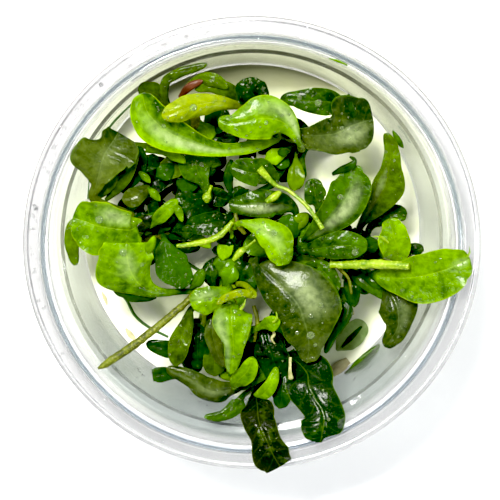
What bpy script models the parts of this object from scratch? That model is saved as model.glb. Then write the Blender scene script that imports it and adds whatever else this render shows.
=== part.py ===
"""A tissue culture cup of Bucephalandra pygmaea: a clear cup, its nutrient gel and a clump of plantlets.

Metres, +Z up. The origin is the middle of the cup's foot, on the surface that the cup stands on.
Leaves and stems are placed as they look from above the cup: across, up the picture, and height.
"""

import math

import bmesh
import bpy
from mathutils import Vector

MM = 0.001
SHARP_EDGE = math.radians(40)

# The cup, real sizes in millimetres
FLANGE_RADIUS = 50.0
RIM_RADIUS = 44.6
RIM_HEIGHT = 45.0
SHOULDER_RADIUS = 43.4
SHOULDER_HEIGHT = 36.0
WALL_TOP_RADIUS = 41.6
FLOOR_RADIUS = 34.6
FLOOR_HEIGHT = 2.0
FLOOR_CORNER = 1.3
WALL = 0.9
FOOT_WIDTH = 2.6
FOOT_RECESS = 0.9
FLANGE_DROP = 1.4
SKIRT = 1.5
RIM_CREST = 0.5
RIM_WIDTH = 1.7
EASE = 0.3
TURN_STEPS = 40

# The gel, which fills the foot of the cup
GEL_HEIGHT = 21.0
MENISCUS = 0.6
MENISCUS_WIDTH = 2.4
GAP = 0.3

# The viewpoint that leaf places are read from, over the middle of the rim
EYE_DISTANCE = 450.0
EYE_TILT = math.radians(8.5)

# Leaves and stems, real sizes in millimetres
BLADE_THICKNESS = 0.45
STALK_THICKNESS = 1.2
STALK_HALF_WIDTH = 0.8
BLADE_HALF_WIDTH = 2.4
MARGIN_SHARE = 0.55
STEPS_PER_SPAN = 2
TUBE_SIDES = 6
STALK_START = 0.7
STALK_GAP = 1.3
LEAST_BEND = 0.05
TIP_ROUNDNESS = 0.8
NARROW_LEAF = 2.6
LOW_LEAF_SHAPE = ((0, 0, 0), (0.4, 0.6, 0), (0.72, 0.95, 1), (1, 1, 0.45))
LOW_STALK_THICKNESS = 1.1
LOW_BLADE_THICKNESS = 0.6
LOW_FOLD = 0.25
SLIVER = 0.01

# Surface tones: red, green, blue, roughness
TONES = {
    "clear_plastic": (0.86, 0.88, 0.87, 0.15),
    "gel": (0.74, 0.77, 0.55, 0.25),
    "bright": (0.29, 0.50, 0.02, 0.35),
    "lime": (0.47, 0.58, 0.02, 0.35),
    "green": (0.11, 0.27, 0.02, 0.35),
    "dark": (0.03, 0.09, 0.01, 0.30),
    "olive": (0.17, 0.22, 0.01, 0.40),
    "grey": (0.19, 0.26, 0.10, 0.30),
    "brown": (0.20, 0.13, 0.02, 0.50),
}


def clear_scene():
    for item in list(bpy.data.objects):
        bpy.data.objects.remove(item)


def tone_material(tone):
    """The Principled material of a tone, made once."""
    found = bpy.data.materials.get(tone)
    if found:
        return found
    red, green, blue, roughness = TONES[tone]
    made = bpy.data.materials.new(tone)
    made.use_nodes = True
    shader = made.node_tree.nodes["Principled BSDF"]
    shader.inputs["Base Color"].default_value = (red, green, blue, 1.0)
    shader.inputs["Roughness"].default_value = roughness
    shader.inputs["Metallic"].default_value = 0.0
    return made


def piece(name, work, tone):
    """An object of the scene from a filled bmesh in millimetres."""
    bmesh.ops.scale(work, vec=(MM, MM, MM), verts=work.verts)
    bmesh.ops.recalc_face_normals(work, faces=work.faces)
    mesh = bpy.data.meshes.new(name)
    work.to_mesh(mesh)
    work.free()
    mesh.shade_smooth()
    mesh.set_sharp_from_angle(angle=SHARP_EDGE)
    mesh.materials.append(tone_material(tone))
    made = bpy.data.objects.new(name, mesh)
    bpy.context.scene.collection.objects.link(made)
    return made


def turned(name, profile, tone):
    """A round piece from its half section, (radius, height) points that start and end on the axis."""
    work = bmesh.new()
    points = [work.verts.new((radius, 0, height)) for radius, height in profile]
    edges = [work.edges.new(pair) for pair in zip(points, points[1:])]
    bmesh.ops.spin(
        work,
        geom=points + edges,
        axis=(0, 0, 1),
        angle=2 * math.pi,
        steps=TURN_STEPS,
        use_merge=True,
    )
    bmesh.ops.remove_doubles(work, verts=work.verts, dist=0.001)
    return piece(name, work, tone)


def inner_wall(height):
    """Radius of the cup's inner wall below the shoulder."""
    low = FLOOR_HEIGHT + FLOOR_CORNER
    share = (height - low) / (SHOULDER_HEIGHT - low)
    return FLOOR_RADIUS + share * (WALL_TOP_RADIUS - FLOOR_RADIUS)


def make_cup():
    """Thin clear cup: foot ring, tapered wall, stacking shoulder, rolled rim and flat flange."""
    flange_top = RIM_HEIGHT - FLANGE_DROP
    foot_inner = FLOOR_RADIUS - FOOT_WIDTH
    profile = [
        (0, FLOOR_HEIGHT),
        (FLOOR_RADIUS - FLOOR_CORNER, FLOOR_HEIGHT),
        (FLOOR_RADIUS, FLOOR_HEIGHT + FLOOR_CORNER),
        (WALL_TOP_RADIUS, SHOULDER_HEIGHT - EASE),
        (SHOULDER_RADIUS, SHOULDER_HEIGHT + EASE),
        (RIM_RADIUS, RIM_HEIGHT - EASE),
        (RIM_RADIUS + RIM_CREST, RIM_HEIGHT),
        (RIM_RADIUS + RIM_WIDTH - RIM_CREST, RIM_HEIGHT - EASE),
        (RIM_RADIUS + RIM_WIDTH, flange_top + EASE),
        (FLANGE_RADIUS - WALL, flange_top),
        (FLANGE_RADIUS, flange_top - SKIRT / 2),
        (FLANGE_RADIUS, flange_top - SKIRT),
        (FLANGE_RADIUS - WALL, flange_top - SKIRT),
        (RIM_RADIUS + WALL, flange_top - WALL),
        (SHOULDER_RADIUS + WALL, SHOULDER_HEIGHT - EASE),
        (WALL_TOP_RADIUS + WALL, SHOULDER_HEIGHT - EASE - WALL),
        (FLOOR_RADIUS + WALL, FLOOR_HEIGHT),
        (FLOOR_RADIUS + EASE, FOOT_RECESS / 2),
        (FLOOR_RADIUS, 0),
        (foot_inner, 0),
        (foot_inner - EASE, FOOT_RECESS),
        (0, FOOT_RECESS),
    ]
    return turned("cup", profile, "clear_plastic")


def make_gel():
    """Set gel that fills the foot of the cup and climbs a little where it meets the wall."""
    edge_top = GEL_HEIGHT + MENISCUS
    edge_radius = inner_wall(edge_top) - GAP
    floor = FLOOR_HEIGHT + GAP
    profile = [
        (0, GEL_HEIGHT),
        (edge_radius - MENISCUS_WIDTH, GEL_HEIGHT),
        (edge_radius - MENISCUS, GEL_HEIGHT + MENISCUS / 3),
        (edge_radius, edge_top),
        (FLOOR_RADIUS - GAP, floor + FLOOR_CORNER),
        (FLOOR_RADIUS - FLOOR_CORNER - GAP, floor),
        (0, floor),
    ]
    return turned("gel", profile, "gel")


def seen_at(across, up, height):
    """Real place of a point that shows at (across, up) in rim millimetres, at its height."""
    over_rim = height - RIM_HEIGHT
    sine, cosine = math.sin(EYE_TILT), math.cos(EYE_TILT)
    back = up * (EYE_DISTANCE - over_rim * cosine) + over_rim * sine * EYE_DISTANCE
    back /= EYE_DISTANCE * cosine + up * sine
    nearer = back * sine + over_rim * cosine
    return Vector((across * (1 - nearer / EYE_DISTANCE), back, height))


def seen_rows(rows):
    """Rows with their (across, up, height) turned into real places."""
    return [(*seen_at(*row[:3]), *row[3:]) for row in rows]


def smooth_row(rows, step):
    """Catmull-Rom reading of a list of equal-length rows, where a step of 1 is one row."""
    last = len(rows) - 1
    index = min(int(step), last - 1)
    share = step - index
    picked = [rows[min(max(index + offset, 0), last)] for offset in (-1, 0, 1, 2)]
    weights = (
        ((2 - share) * share - 1) * share / 2,
        ((3 * share - 5) * share * share + 2) / 2,
        ((4 - 3 * share) * share + 1) * share / 2,
        (share - 1) * share * share / 2,
    )
    return [sum(w * row[k] for w, row in zip(weights, picked)) for k in range(len(rows[0]))]


def smooth_rows(rows):
    count = (len(rows) - 1) * STEPS_PER_SPAN
    return [smooth_row(rows, i / STEPS_PER_SPAN) for i in range(count + 1)]


def ways_along(centres):
    """For each centre, the level direction to its left and the direction of its upper side."""
    found = []
    for i in range(len(centres)):
        ahead = centres[min(i + 1, len(centres) - 1)] - centres[max(i - 1, 0)]
        left_way = Vector((0, 0, 1)).cross(ahead).normalized()
        found.append((left_way, ahead.normalized().cross(left_way)))
    return found


def loft(name, rings, tone):
    """A closed piece through rings of points: a filled ring, extruded from ring to ring."""
    work = bmesh.new()
    bmesh.ops.create_circle(work, cap_ends=True, radius=1, segments=len(rings[0]))
    work.faces.ensure_lookup_table()
    first = face = work.faces[0]
    for point, place in zip(face.verts, rings[0]):
        point.co = place
    for ring in rings[1:]:
        raised = bmesh.ops.extrude_face_region(work, geom=[face])["geom"]
        if face is not first:
            bmesh.ops.delete(work, geom=[face], context="FACES_ONLY")
        face = next(item for item in raised if isinstance(item, bmesh.types.BMFace))
        for point, place in zip(face.verts, ring):
            point.co = place
    return piece(name, work, tone)


def tube(name, tone, places):
    """A round stem through (across, up, height, radius) places."""
    rows = smooth_rows(seen_rows(places))
    centres = [Vector(row[:3]) for row in rows]
    rings = []
    for row, centre, (left_way, up_way) in zip(rows, centres, ways_along(centres)):
        turns = [2 * math.pi * i / TUBE_SIDES for i in range(TUBE_SIDES)]
        ring = [left_way * math.cos(turn) + up_way * math.sin(turn) for turn in turns]
        rings.append([centre + spoke * row[3] for spoke in ring])
    return loft(name, rings, tone)


def blade_share(half_width):
    """0 on a stalk, 1 on a blade, and between them where a leaf widens."""
    share = (half_width - STALK_HALF_WIDTH) / (BLADE_HALF_WIDTH - STALK_HALF_WIDTH)
    return min(max(share, 0), 1)


def leaf_ring(centre, left_way, up_way, left, right, curl_left, curl_right, narrow):
    """One cross-section of a leaf: two curled halves, thick on a stalk and thin on a blade."""
    bladed = blade_share((left + right) / 2)
    thickness = STALK_THICKNESS + bladed * (BLADE_THICKNESS - STALK_THICKNESS)

    def point(side, share, depth):
        width = left if side > 0 else right
        curl = math.radians(curl_left if side > 0 else curl_right) * bladed
        bend = max(abs(curl), LEAST_BEND)
        reach = width / math.sin(min(bend, math.pi / 2))
        lean = math.copysign(bend * share, curl)
        over = left_way * (side * reach * math.sin(bend * share))
        rise = up_way * math.copysign(reach * (1 - math.cos(bend * share)), curl)
        facing = up_way * math.cos(lean) - left_way * (side * math.sin(lean))
        return centre + over + rise - facing * (depth * thickness)

    if narrow:
        return [point(1, 1, 0.5), point(1, 0, 0), point(-1, 1, 0.5), point(1, 0, 1)]
    top = [point(side, share, 0) for side, share in ((1, MARGIN_SHARE), (1, 0), (-1, MARGIN_SHARE))]
    below = [point(side, share, 1) for side, share in ((-1, MARGIN_SHARE), (1, 0), (1, MARGIN_SHARE))]
    return [point(1, 1, 0.5), *top, point(-1, 1, 0.5), *below]


def round_tip(smooth, rows):
    """Widens the last stretch of a leaf towards a round outline."""
    before, end = rows[-2], rows[-1]
    for i in range(1, STEPS_PER_SPAN):
        share = i / STEPS_PER_SPAN
        row = smooth[i - STEPS_PER_SPAN - 1]
        for side in (3, 4):
            arc = max(before[side] * math.sqrt(1 - share * share), end[side])
            row[side] += TIP_ROUNDNESS * (arc - row[side])


def leaf(name, tone, curls, stem, share, rows):
    """A leaf from its stem: rows of (across, up, height, left half, right half) to its tip."""
    placed = seen_rows(rows)
    stem_rows = seen_rows(STEMS[stem])
    node = smooth_row(stem_rows, share * (len(stem_rows) - 1))
    away = (Vector(placed[0][:3]) - Vector(node[:3])).normalized()
    start = Vector(node[:3]) + away * (node[3] + STALK_GAP)
    stalk = (*start, STALK_START, STALK_START)
    smooth = smooth_rows([stalk, *placed])
    round_tip(smooth, placed)
    del smooth[1]
    centres = [Vector(row[:3]) for row in smooth]
    narrow = max(max(row[3:]) for row in rows) <= NARROW_LEAF
    rings = [
        leaf_ring(centre, *ways, row[3], row[4], *curls, narrow)
        for row, centre, ways in zip(smooth, centres, ways_along(centres))
    ]
    return loft(name, rings, tone)


def low_leaf(stem, share, heading, climb, length, half_width):
    """A short leaf that starts inside a stem: a stalk and a blade folded a little along its middle."""
    stem_rows = seen_rows(STEMS[stem])
    joint = Vector(smooth_row(stem_rows, share * (len(stem_rows) - 1))[:3])
    turn = math.radians(heading)
    ahead = Vector((math.cos(turn), math.sin(turn), 0)) * length
    centres = [joint + ahead * reach + Vector((0, 0, climb * lift)) for reach, lift, _ in LOW_LEAF_SHAPE]
    rings = []
    for centre, (left_way, up_way), (_, _, width) in zip(centres, ways_along(centres), LOW_LEAF_SHAPE):
        half = width * half_width or STALK_START
        depth = up_way * (LOW_BLADE_THICKNESS if width else LOW_STALK_THICKNESS) / 2
        fold = up_way * (LOW_FOLD * half if width else 0)
        over = left_way * half
        rings.append([centre + over + fold, centre + depth, centre - over + fold, centre - depth])
    return loft("low_leaf", rings, "dark")


def fuse(base, growths):
    """Unites a piece with the ones that grow from it, which are used up."""
    for growth in growths:
        union = base.modifiers.new("union", "BOOLEAN")
        union.operation = "UNION"
        union.solver = "EXACT"
        union.object = growth
    ready = base.evaluated_get(bpy.context.evaluated_depsgraph_get())
    work = bmesh.new()
    work.from_mesh(ready.to_mesh())
    bmesh.ops.remove_doubles(work, verts=work.verts, dist=SLIVER * MM)
    bmesh.ops.dissolve_degenerate(work, edges=work.edges, dist=SLIVER * MM)
    bmesh.ops.triangulate(work, faces=work.faces)
    base.modifiers.clear()
    for face in work.faces:
        face.material_index = 0
    work.to_mesh(base.data)
    work.free()
    for growth in growths:
        bpy.data.objects.remove(growth)


# Creeping stems, each a row of (across, up, height, radius)
STEMS = {
    "stem_northwest": (
        (-16, 12, 22.6, 1.3), (-15, 16, 26, 1.7), (-13, 20, 30, 1.5), (-12, 25, 33, 1.3),
        (-12.5, 29, 35.5, 1)),
    "stem_northeast": (
        (17, 22, 22.6, 1.3), (14, 22.5, 26, 1.6), (10, 23, 30, 1.5), (5, 25, 33, 1.3),
        (0, 27, 35.5, 1)),
    "stem_west": (
        (-27, 3, 22.6, 1.3), (-24, 1.5, 26, 1.6), (-21, 2, 30, 1.4), (-18, 4, 33, 1.1)),
    "stem_middle": (
        (2, -1, 22.6, 1.3), (0, 2, 26, 1.7), (-2, 6, 31, 1.4), (-3.5, 10, 35, 1.1)),
    "stem_east": (
        (31, -4, 22.6, 1.3), (26, -3, 26, 1.7), (21, -2.5, 29.5, 1.5), (16, -2, 32.5, 1.3),
        (12, 1, 35, 1)),
    "stem_lower": (
        (13, -13, 22.6, 1.3), (11, -10, 26, 1.6), (8, -6, 30, 1.4), (6, -2, 33.5, 1.2),
        (7, 2, 36, 1)),
    "stem_southwest": (
        (-10, -21, 22.6, 1.3), (-10.5, -17, 26, 1.6), (-9, -13, 30.5, 1.4),
        (-6.5, -9.5, 34.5, 1.2), (-4, -8, 37, 0.9)),
    "stem_south": (
        (2, -30, 22.6, 1.3), (4, -26.5, 25.5, 1.6), (4, -22.5, 29.5, 1.4), (2, -19, 33.5, 1.1)),
    "stem_loose": (
        (-12.6, -10.4, 38, 0.8), (-17, -14.3, 39, 0.8), (-24, -20, 40.5, 0.9),
        (-31, -24.8, 41.8, 0.85), (-33.4, -26.3, 42.2, 0.25)),
    "stem_cut_east": (
        (17, -3.7, 41.8, 0.7), (21, -3.8, 42.6, 0.9), (27, -3.6, 44.7, 1), (34.2, -4, 47.2, 0.8)),
    "stem_arching": (
        (-4.2, 5.6, 40.5, 0.6), (-7, 2.6, 41, 0.65), (-11, 1.1, 40.6, 0.65), (-16.3, 0.3, 40, 0.4)),
}
BROWN_STEMS = ("stem_loose", "stem_northwest", "stem_west", "stem_middle", "stem_lower")

# Short low leaves of each stem: (place along it, heading, climb, length, half width)
LOW_LEAVES = {
    "stem_northwest": (
        (0.33, 295, 1.8, 7.4, 2.1), (0.39, 200, 1.4, 9.2, 2.2), (0.49, 95, -0.5, 7.7, 1.7),
        (0.59, 265, 1.9, 8.3, 1.5), (0.65, 225, 5.4, 9.8, 2.3), (0.74, 305, 1.2, 7.9, 2.5)),
    "stem_northeast": (
        (0.41, 185, 4.9, 6.1, 1.9), (0.49, 140, 2.9, 7.9, 2.3), (0.54, 235, 6.3, 6.6, 1.8),
        (0.64, 170, -0.9, 6.2, 2.4), (0.73, 265, 0.4, 9.1, 2.1)),
    "stem_west": (
        (0.2, 300, -0.6, 7, 1.6), (0.21, 345, 6.9, 6.6, 1.6), (0.47, 25, -0.7, 9.3, 2.4),
        (0.74, 10, 2.5, 7.4, 2), (0.81, 240, 3.5, 7.3, 1.8)),
    "stem_middle": (
        (0.22, 200, 2.6, 6.9, 2.2), (0.24, 315, 4.4, 7.1, 1.6), (0.26, 100, 4.8, 6.4, 2.1),
        (0.27, 30, 5.1, 9.7, 2.1), (0.27, 90, 2.6, 9.8, 2.4), (0.77, 355, -0.8, 6.5, 2.6)),
    "stem_east": (
        (0.35, 45, 6.2, 6.7, 2.2), (0.42, 155, 5.5, 8.7, 2.5), (0.83, 45, 1.5, 9.4, 2.2),
        (0.94, 0, -0.2, 9.3, 2), (0.94, 115, 2.4, 6.6, 1.8)),
    "stem_lower": (
        (0.19, 255, 6.5, 7.9, 1.5), (0.23, 235, 1.7, 6.9, 1.8), (0.52, 180, -1, 8.5, 2.3),
        (0.65, 65, 1.9, 9.3, 1.7), (0.73, 90, 1.2, 6.4, 2), (0.83, 300, 3.1, 6.2, 1.9)),
    "stem_southwest": (
        (0.23, 305, 4.3, 6.2, 1.5), (0.42, 75, -0.9, 6.2, 2.4), (0.54, 25, -0.8, 7.6, 2),
        (0.86, 85, 1.1, 8.2, 2.3), (0.88, 355, -0.3, 6.4, 2.2)),
    "stem_south": (
        (0.21, 40, 4.8, 8.4, 1.5), (0.44, 70, 1.2, 8.2, 2.6), (0.58, 135, 3.4, 8.6, 2),
        (0.79, 200, 1.3, 6.4, 1.8), (0.91, 45, 2.7, 6.4, 2.3)),
}

# Young shoots that end in a club, each a row of (across, up, height, radius)
SHOOTS = {
    "shoot_middle": (
        (0.8, 1.6, 43.6, 0.3), (-1, 0.2, 44.2, 0.3), (-2.4, -0.9, 44.6, 0.8),
        (-4.1, -2.8, 44.8, 0.35)),
    "shoot_long": (
        (1.6, 17.2, 43.6, 0.9), (5, 13.7, 44, 0.45), (8, 12.3, 44.6, 0.4), (12, 8.9, 46, 0.45),
        (15.4, 4.1, 47, 0.5)),
    "shoot_thick": (
        (6.2, 12.2, 42.3, 0.5), (4.8, 11, 42.5, 0.8), (3.1, 9.9, 42.6, 0.5)),
}

# Leaves: tone, curl of the left and right halves in degrees, stem, place along it, and rows
LEAVES = {
    "leaf_nw_boat": ("bright", (60, 60), "stem_northeast", 0.74, (
        (5, 23.3, 39, 0.8, 0.8), (0, 21.9, 41, 1.3, 1.2), (-6, 21.2, 43, 1.3, 1.3),
        (-12, 22.4, 44, 2.1, 2.2), (-18, 25, 44.6, 3.7, 3.6), (-22.4, 29, 45, 3.6, 3.4),
        (-23.8, 33.4, 45.2, 0.4, 0.4))),
    "leaf_nw_crescent": ("lime", (-50, -50), "stem_northeast", 1, (
        (-1.5, 30.2, 39.5, 0.7, 0.7), (-5, 31, 44.5, 1.5, 1.5), (-9, 31.4, 47, 2.4, 2.1),
        (-14, 30.3, 48.6, 2.8, 2.7), (-17.6, 28.9, 49, 1.9, 2.2), (-19.6, 28.6, 48.6, 0.3, 0.3))),
    "leaf_nw_back": ("olive", (20, 20), "stem_northwest", 0.66, (
        (-18.6, 30, 34.5, 0.8, 0.8), (-20.3, 32.9, 36.6, 2.2, 2.2), (-22.8, 34.1, 37.6, 1.8, 1.8),
        (-24.7, 34.4, 37.8, 0.3, 0.3))),
    "leaf_nw_wall": ("olive", (-20, -20), "stem_northwest", 0.8, (
        (-18.2, 30.8, 37.2, 0.8, 0.8), (-18.8, 35.6, 40.5, 1.1, 1.1), (-16, 37.9, 41.5, 1, 1.2),
        (-12.5, 39, 41.5, 0.8, 1), (-9.7, 39.8, 41.5, 0.2, 0.2))),
    "leaf_nw_brown": ("olive", (-40, -40), "stem_northwest", 1, (
        (-14.8, 33.4, 38.6, 0.7, 0.7), (-11.5, 36.3, 41.4, 1.3, 1.3), (-8.3, 36.3, 42.6, 1.6, 1.6),
        (-5.2, 34.6, 42, 0.4, 0.4))),
    "leaf_nw_dark": ("dark", (25, 25), "stem_northwest", 0.5, (
        (-16.6, 17.6, 35, 1, 1), (-20, 17.2, 36.6, 2.6, 2.6), (-23, 17.7, 36.8, 2.5, 2.5),
        (-25.2, 18.6, 36.4, 0.4, 0.4))),
    "leaf_nw_hanging": ("green", (-20, -20), "stem_northwest", 0.74, (
        (-12.6, 22.4, 36.6, 1, 1), (-12.3, 19.4, 38.5, 4, 3.9), (-11.8, 16.6, 38.8, 3.5, 3.4),
        (-10.4, 13.9, 38.2, 1.3, 1.3), (-9.4, 11, 38.2, 0.9, 0.9), (-9.3, 9.8, 38, 0.4, 0.4))),
    "leaf_n_large": ("bright", (-22, -25), "stem_northeast", 0.45, (
        (11, 21.5, 40, 0.8, 0.8), (10.2, 22.8, 44.6, 0.8, 0.8), (8.4, 25.6, 45.4, 1.8, 2.2),
        (6, 27.5, 46.2, 4.1, 4.3), (2.5, 28, 46.9, 4.8, 4.9), (-1, 27.4, 47, 4.1, 3.9),
        (-4.6, 27, 46.8, 2.4, 1.8), (-7.3, 27.8, 46.2, 0.4, 0.4))),
    "leaf_n_round": ("dark", (-20, -20), "stem_northeast", 0.86, (
        (2, 29, 39.6, 0.9, 0.9), (1, 32, 41.6, 3.2, 3.2), (-0.5, 34.6, 42.2, 3.2, 3.4),
        (-1.2, 36.8, 42, 0.9, 0.9))),
    "leaf_ne_oval": ("green", (-15, -15), "stem_northeast", 0.25, (
        (19.5, 26.5, 36, 0.7, 0.7), (20.8, 29.2, 42, 0.8, 0.8), (17.5, 31.4, 43.2, 2.9, 2.6),
        (12.8, 31.7, 43.6, 2.6, 2.9), (9, 32.2, 43.4, 1.6, 1.7), (6.1, 31.9, 43, 0.3, 0.3))),
    "leaf_ne_grey": ("grey", (35, -25), "stem_northeast", 0.6, (
        (8.6, 24.9, 40.6, 0.8, 0.8), (12.2, 24.4, 42.4, 1.6, 2.3), (17, 24.5, 44.6, 3.5, 4.6),
        (19.4, 25.3, 45.2, 4.2, 5.6), (21.4, 26.3, 45.4, 7, 6), (24.3, 27.3, 45, 5.4, 5.4),
        (26.4, 27.8, 44.6, 0.9, 0.9))),
    "leaf_ne_olive": ("olive", (25, 25), "stem_east", 0.42, (
        (23.5, 4.2, 34, 0.8, 0.8), (26.6, 9, 38, 1.7, 2.6), (28.8, 13.5, 40, 2.5, 4.4),
        (29.8, 17.8, 41, 1.6, 2.6), (30.1, 21.2, 41, 1.2, 1.8), (29, 24.8, 40.8, 0.3, 0.3))),
    "leaf_ne_low": ("green", (15, 15), "stem_east", 0.34, (
        (25.5, 3.8, 31.5, 0.8, 0.8), (28.5, 6.5, 34.5, 2.1, 2.1), (31.4, 7.2, 35.4, 2.1, 1.7),
        (33.4, 6.1, 35.2, 0.3, 0.3))),
    "leaf_w_lobed": ("grey", (25, 25), "stem_west", 0.85, (
        (-26, 7, 34.5, 0.7, 0.7), (-34, 10.3, 40.2, 1, 1), (-33.8, 14, 41.6, 1.3, 1.6),
        (-33.3, 16.6, 42.4, 5.2, 3.2), (-32.8, 19.4, 43, 6.1, 5.2), (-32.3, 21.3, 43, 4.8, 5.6),
        (-31.8, 22.6, 43, 2.6, 5.2), (-31.3, 23.7, 43, 1.5, 3.6))),
    "leaf_w_narrow": ("olive", (-30, -30), "stem_northwest", 0.58, (
        (-22.5, 22, 34.5, 0.7, 0.7), (-26.6, 21.4, 37, 1.2, 1.2), (-28.6, 17.2, 38.6, 1.4, 1.5),
        (-31.3, 13, 39, 1.2, 1.3), (-33.9, 10.6, 37.8, 0.3, 0.3))),
    "leaf_w_broad": ("bright", (10, 35), "stem_west", 0.3, (
        (-24.4, 4.6, 37.6, 1.3, 1.2), (-26.4, 3.8, 40.8, 4.2, 3.6), (-30, 4.1, 42.2, 5.6, 4.8),
        (-33.5, 4.7, 43, 6.4, 5.3), (-36.6, 5.8, 43, 4.8, 4.6), (-38.9, 6.5, 43, 0.8, 1))),
    "leaf_w_folded": ("bright", (-30, -30), "stem_southwest", 0.72, (
        (-13.8, -9.6, 36.2, 0.7, 0.7), (-19.6, -9.8, 39.4, 1.2, 1.1), (-23.6, -8.7, 41.8, 2.8, 3),
        (-26.2, -5.4, 43.8, 7.8, 5.1), (-27.2, -1.6, 45, 6.2, 5.5), (-27.3, 1, 45, 5, 5))),
    "leaf_w_rimmed": ("dark", (35, 30), "stem_west", 0.9, (
        (-19, 2, 36.5, 0.8, 0.8), (-18.6, -1, 38, 2.4, 2.4), (-17.2, -4.2, 38.8, 3.9, 3.6),
        (-15, -6.8, 39, 2.4, 2.4), (-13.6, -8.2, 39, 0.3, 0.3))),
    "leaf_w_edge": ("olive", (20, 20), "stem_west", 0.25, (
        (-33, 5, 33, 0.7, 0.7), (-38.4, 5.2, 38.4, 1.1, 1.1), (-39.2, 1.6, 38.6, 1.7, 1.5),
        (-38.8, -1.6, 38.2, 1.2, 1.2), (-38.3, -3.9, 37.8, 0.5, 0.5))),
    "leaf_c_dark": ("dark", (20, 20), "stem_middle", 0.5, (
        (-6.6, 4.8, 33.2, 0.9, 0.9), (-10.4, 8, 35.2, 3.5, 3.5), (-14, 9.8, 35.6, 2.4, 2.4),
        (-16.4, 11, 35.2, 0.3, 0.3))),
    "leaf_c_deep": ("dark", (-20, -20), "stem_middle", 0.1, (
        (-1, -3.2, 31.5, 0.9, 0.9), (-4.4, -4.6, 33.6, 3.6, 3.6), (-8, -5.8, 34, 3.2, 3.4),
        (-10.6, -7, 33.6, 0.5, 0.5))),
    "leaf_c_ring": ("dark", (30, 30), "stem_middle", 0.85, (
        (-5.2, 6.4, 37, 0.9, 0.9), (-7.6, 5.6, 38, 2.3, 2.3), (-10.8, 5, 38.2, 2.2, 2.2),
        (-14.4, 4.8, 37.6, 0.3, 0.3))),
    "leaf_c_upper": ("green", (-20, 15), "stem_middle", 0.98, (
        (4.6, 13.8, 38.6, 0.9, 0.9), (2.6, 15.7, 41, 2.6, 3.1), (-0.6, 16.3, 41.6, 2.8, 3),
        (-4.6, 17.6, 41, 0.4, 0.4))),
    "leaf_c_sheen": ("green", (-20, -20), "stem_lower", 1, (
        (9.6, 7.2, 37, 0.8, 0.8), (7, 9.4, 38.6, 2.5, 2.3), (2.2, 9.4, 39.4, 3, 3.2),
        (-2.4, 9.2, 39, 2.3, 2.2), (-5, 9.8, 38.4, 0.4, 0.4))),
    "leaf_c_bright": ("bright", (-35, -35), "stem_middle", 0.75, (
        (-4, 4.6, 39.5, 0.7, 0.7), (-2, 5.1, 43.5, 0.9, 0.9), (1.6, 3.9, 46.6, 2.6, 2.2),
        (4.7, 1.5, 47.4, 4.2, 3), (6.2, -1.4, 47, 3.1, 2.8), (6.8, -3.9, 46.2, 1.6, 1.6))),
    "leaf_c_largest": ("grey", (-18, -18), "stem_lower", 0.68, (
        (1.4, -3.4, 41, 1.6, 1.6), (5.6, -7.6, 43.6, 6.2, 4.8), (9.8, -12.2, 45.2, 8.6, 5.3),
        (11.3, -16, 45.4, 8.8, 5.4), (12.2, -19.2, 45, 5.4, 5.2), (12.4, -22.4, 44, 2.9, 2.8),
        (11.9, -25.1, 43, 0.3, 0.3))),
    "leaf_c_side": ("green", (-15, -15), "stem_lower", 0.5, (
        (13.6, -3.8, 39.2, 1, 1), (15.4, -5.1, 40.4, 2.5, 2.3), (17.4, -7.4, 40.4, 1.9, 1.8),
        (18.6, -9.6, 40, 0.3, 0.3))),
    "leaf_e_small": ("green", (20, 20), "stem_east", 0.86, (
        (14.6, 8.2, 38, 0.9, 0.9), (13.9, 10.8, 39, 2.3, 2.2), (13.4, 13.2, 39.2, 1.8, 2),
        (13.2, 15, 39, 0.4, 0.4))),
    "leaf_e_streaked": ("green", (20, 25), "stem_east", 1, (
        (11.8, 1.6, 39.5, 1, 1), (15.6, 4.8, 42, 2.6, 2.5), (19.6, 9.2, 44, 4, 4.3),
        (21.6, 13.3, 44.8, 4.2, 4.4), (21.9, 16.4, 45, 2.4, 2.2), (21.8, 17.8, 45, 0.4, 0.4))),
    "leaf_e_oval": ("green", (-20, -20), "stem_lower", 0.86, (
        (9.6, -0.7, 39, 0.8, 0.8), (13.6, -0.4, 42.2, 1.9, 1.9), (18.6, 0.4, 43.8, 3.2, 3.1),
        (22.6, 0.2, 44, 2.7, 2.6), (25, -0.4, 43.8, 0.5, 0.5))),
    "leaf_e_cupped": ("bright", (50, 45), "stem_east", 0.16, (
        (31, -3.8, 38.5, 0.8, 0.8), (31.8, -1.4, 42, 3, 2), (31, 2, 43.6, 3.5, 3.1),
        (30.3, 4.9, 44, 1.9, 2), (30, 6.2, 44, 0.3, 0.3))),
    "leaf_e_behind": ("dark", (10, 10), "stem_east", 0.03, (
        (33.6, -2, 35.5, 0.7, 0.7), (35, -0.8, 38.4, 1.7, 1.5), (37.3, -0.3, 38.8, 0.5, 0.5))),
    "leaf_e_large": ("bright", (25, 25), "stem_east", 0.28, (
        (26, -5.6, 39.6, 0.9, 0.9), (30.5, -6.6, 42.6, 2.2, 3), (36, -6.4, 45.6, 4.6, 5.6),
        (41.5, -5, 47.6, 4.9, 5.7), (45.2, -3.4, 48.2, 3.3, 3.7), (47.4, -2.5, 48.2, 0.6, 0.6))),
    "leaf_e_lower": ("grey", (-25, -25), "stem_east", 0.22, (
        (28.8, -8, 37.5, 0.9, 0.9), (31.4, -12.4, 40.6, 4.6, 4.4), (31.8, -17, 40.8, 3, 3),
        (30, -20.2, 40.2, 2, 1.8), (28.8, -21.6, 39.8, 0.4, 0.4))),
    "leaf_s_sheen": ("bright", (-25, -25), "stem_southwest", 1, (
        (-4.8, -9, 40.2, 1, 1), (-6.4, -9.9, 41.2, 1.8, 1.6), (-9, -11, 41.8, 3.2, 2.7),
        (-11.6, -11.6, 42, 3.2, 2.6), (-13.4, -12, 41.6, 0.9, 0.9))),
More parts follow.
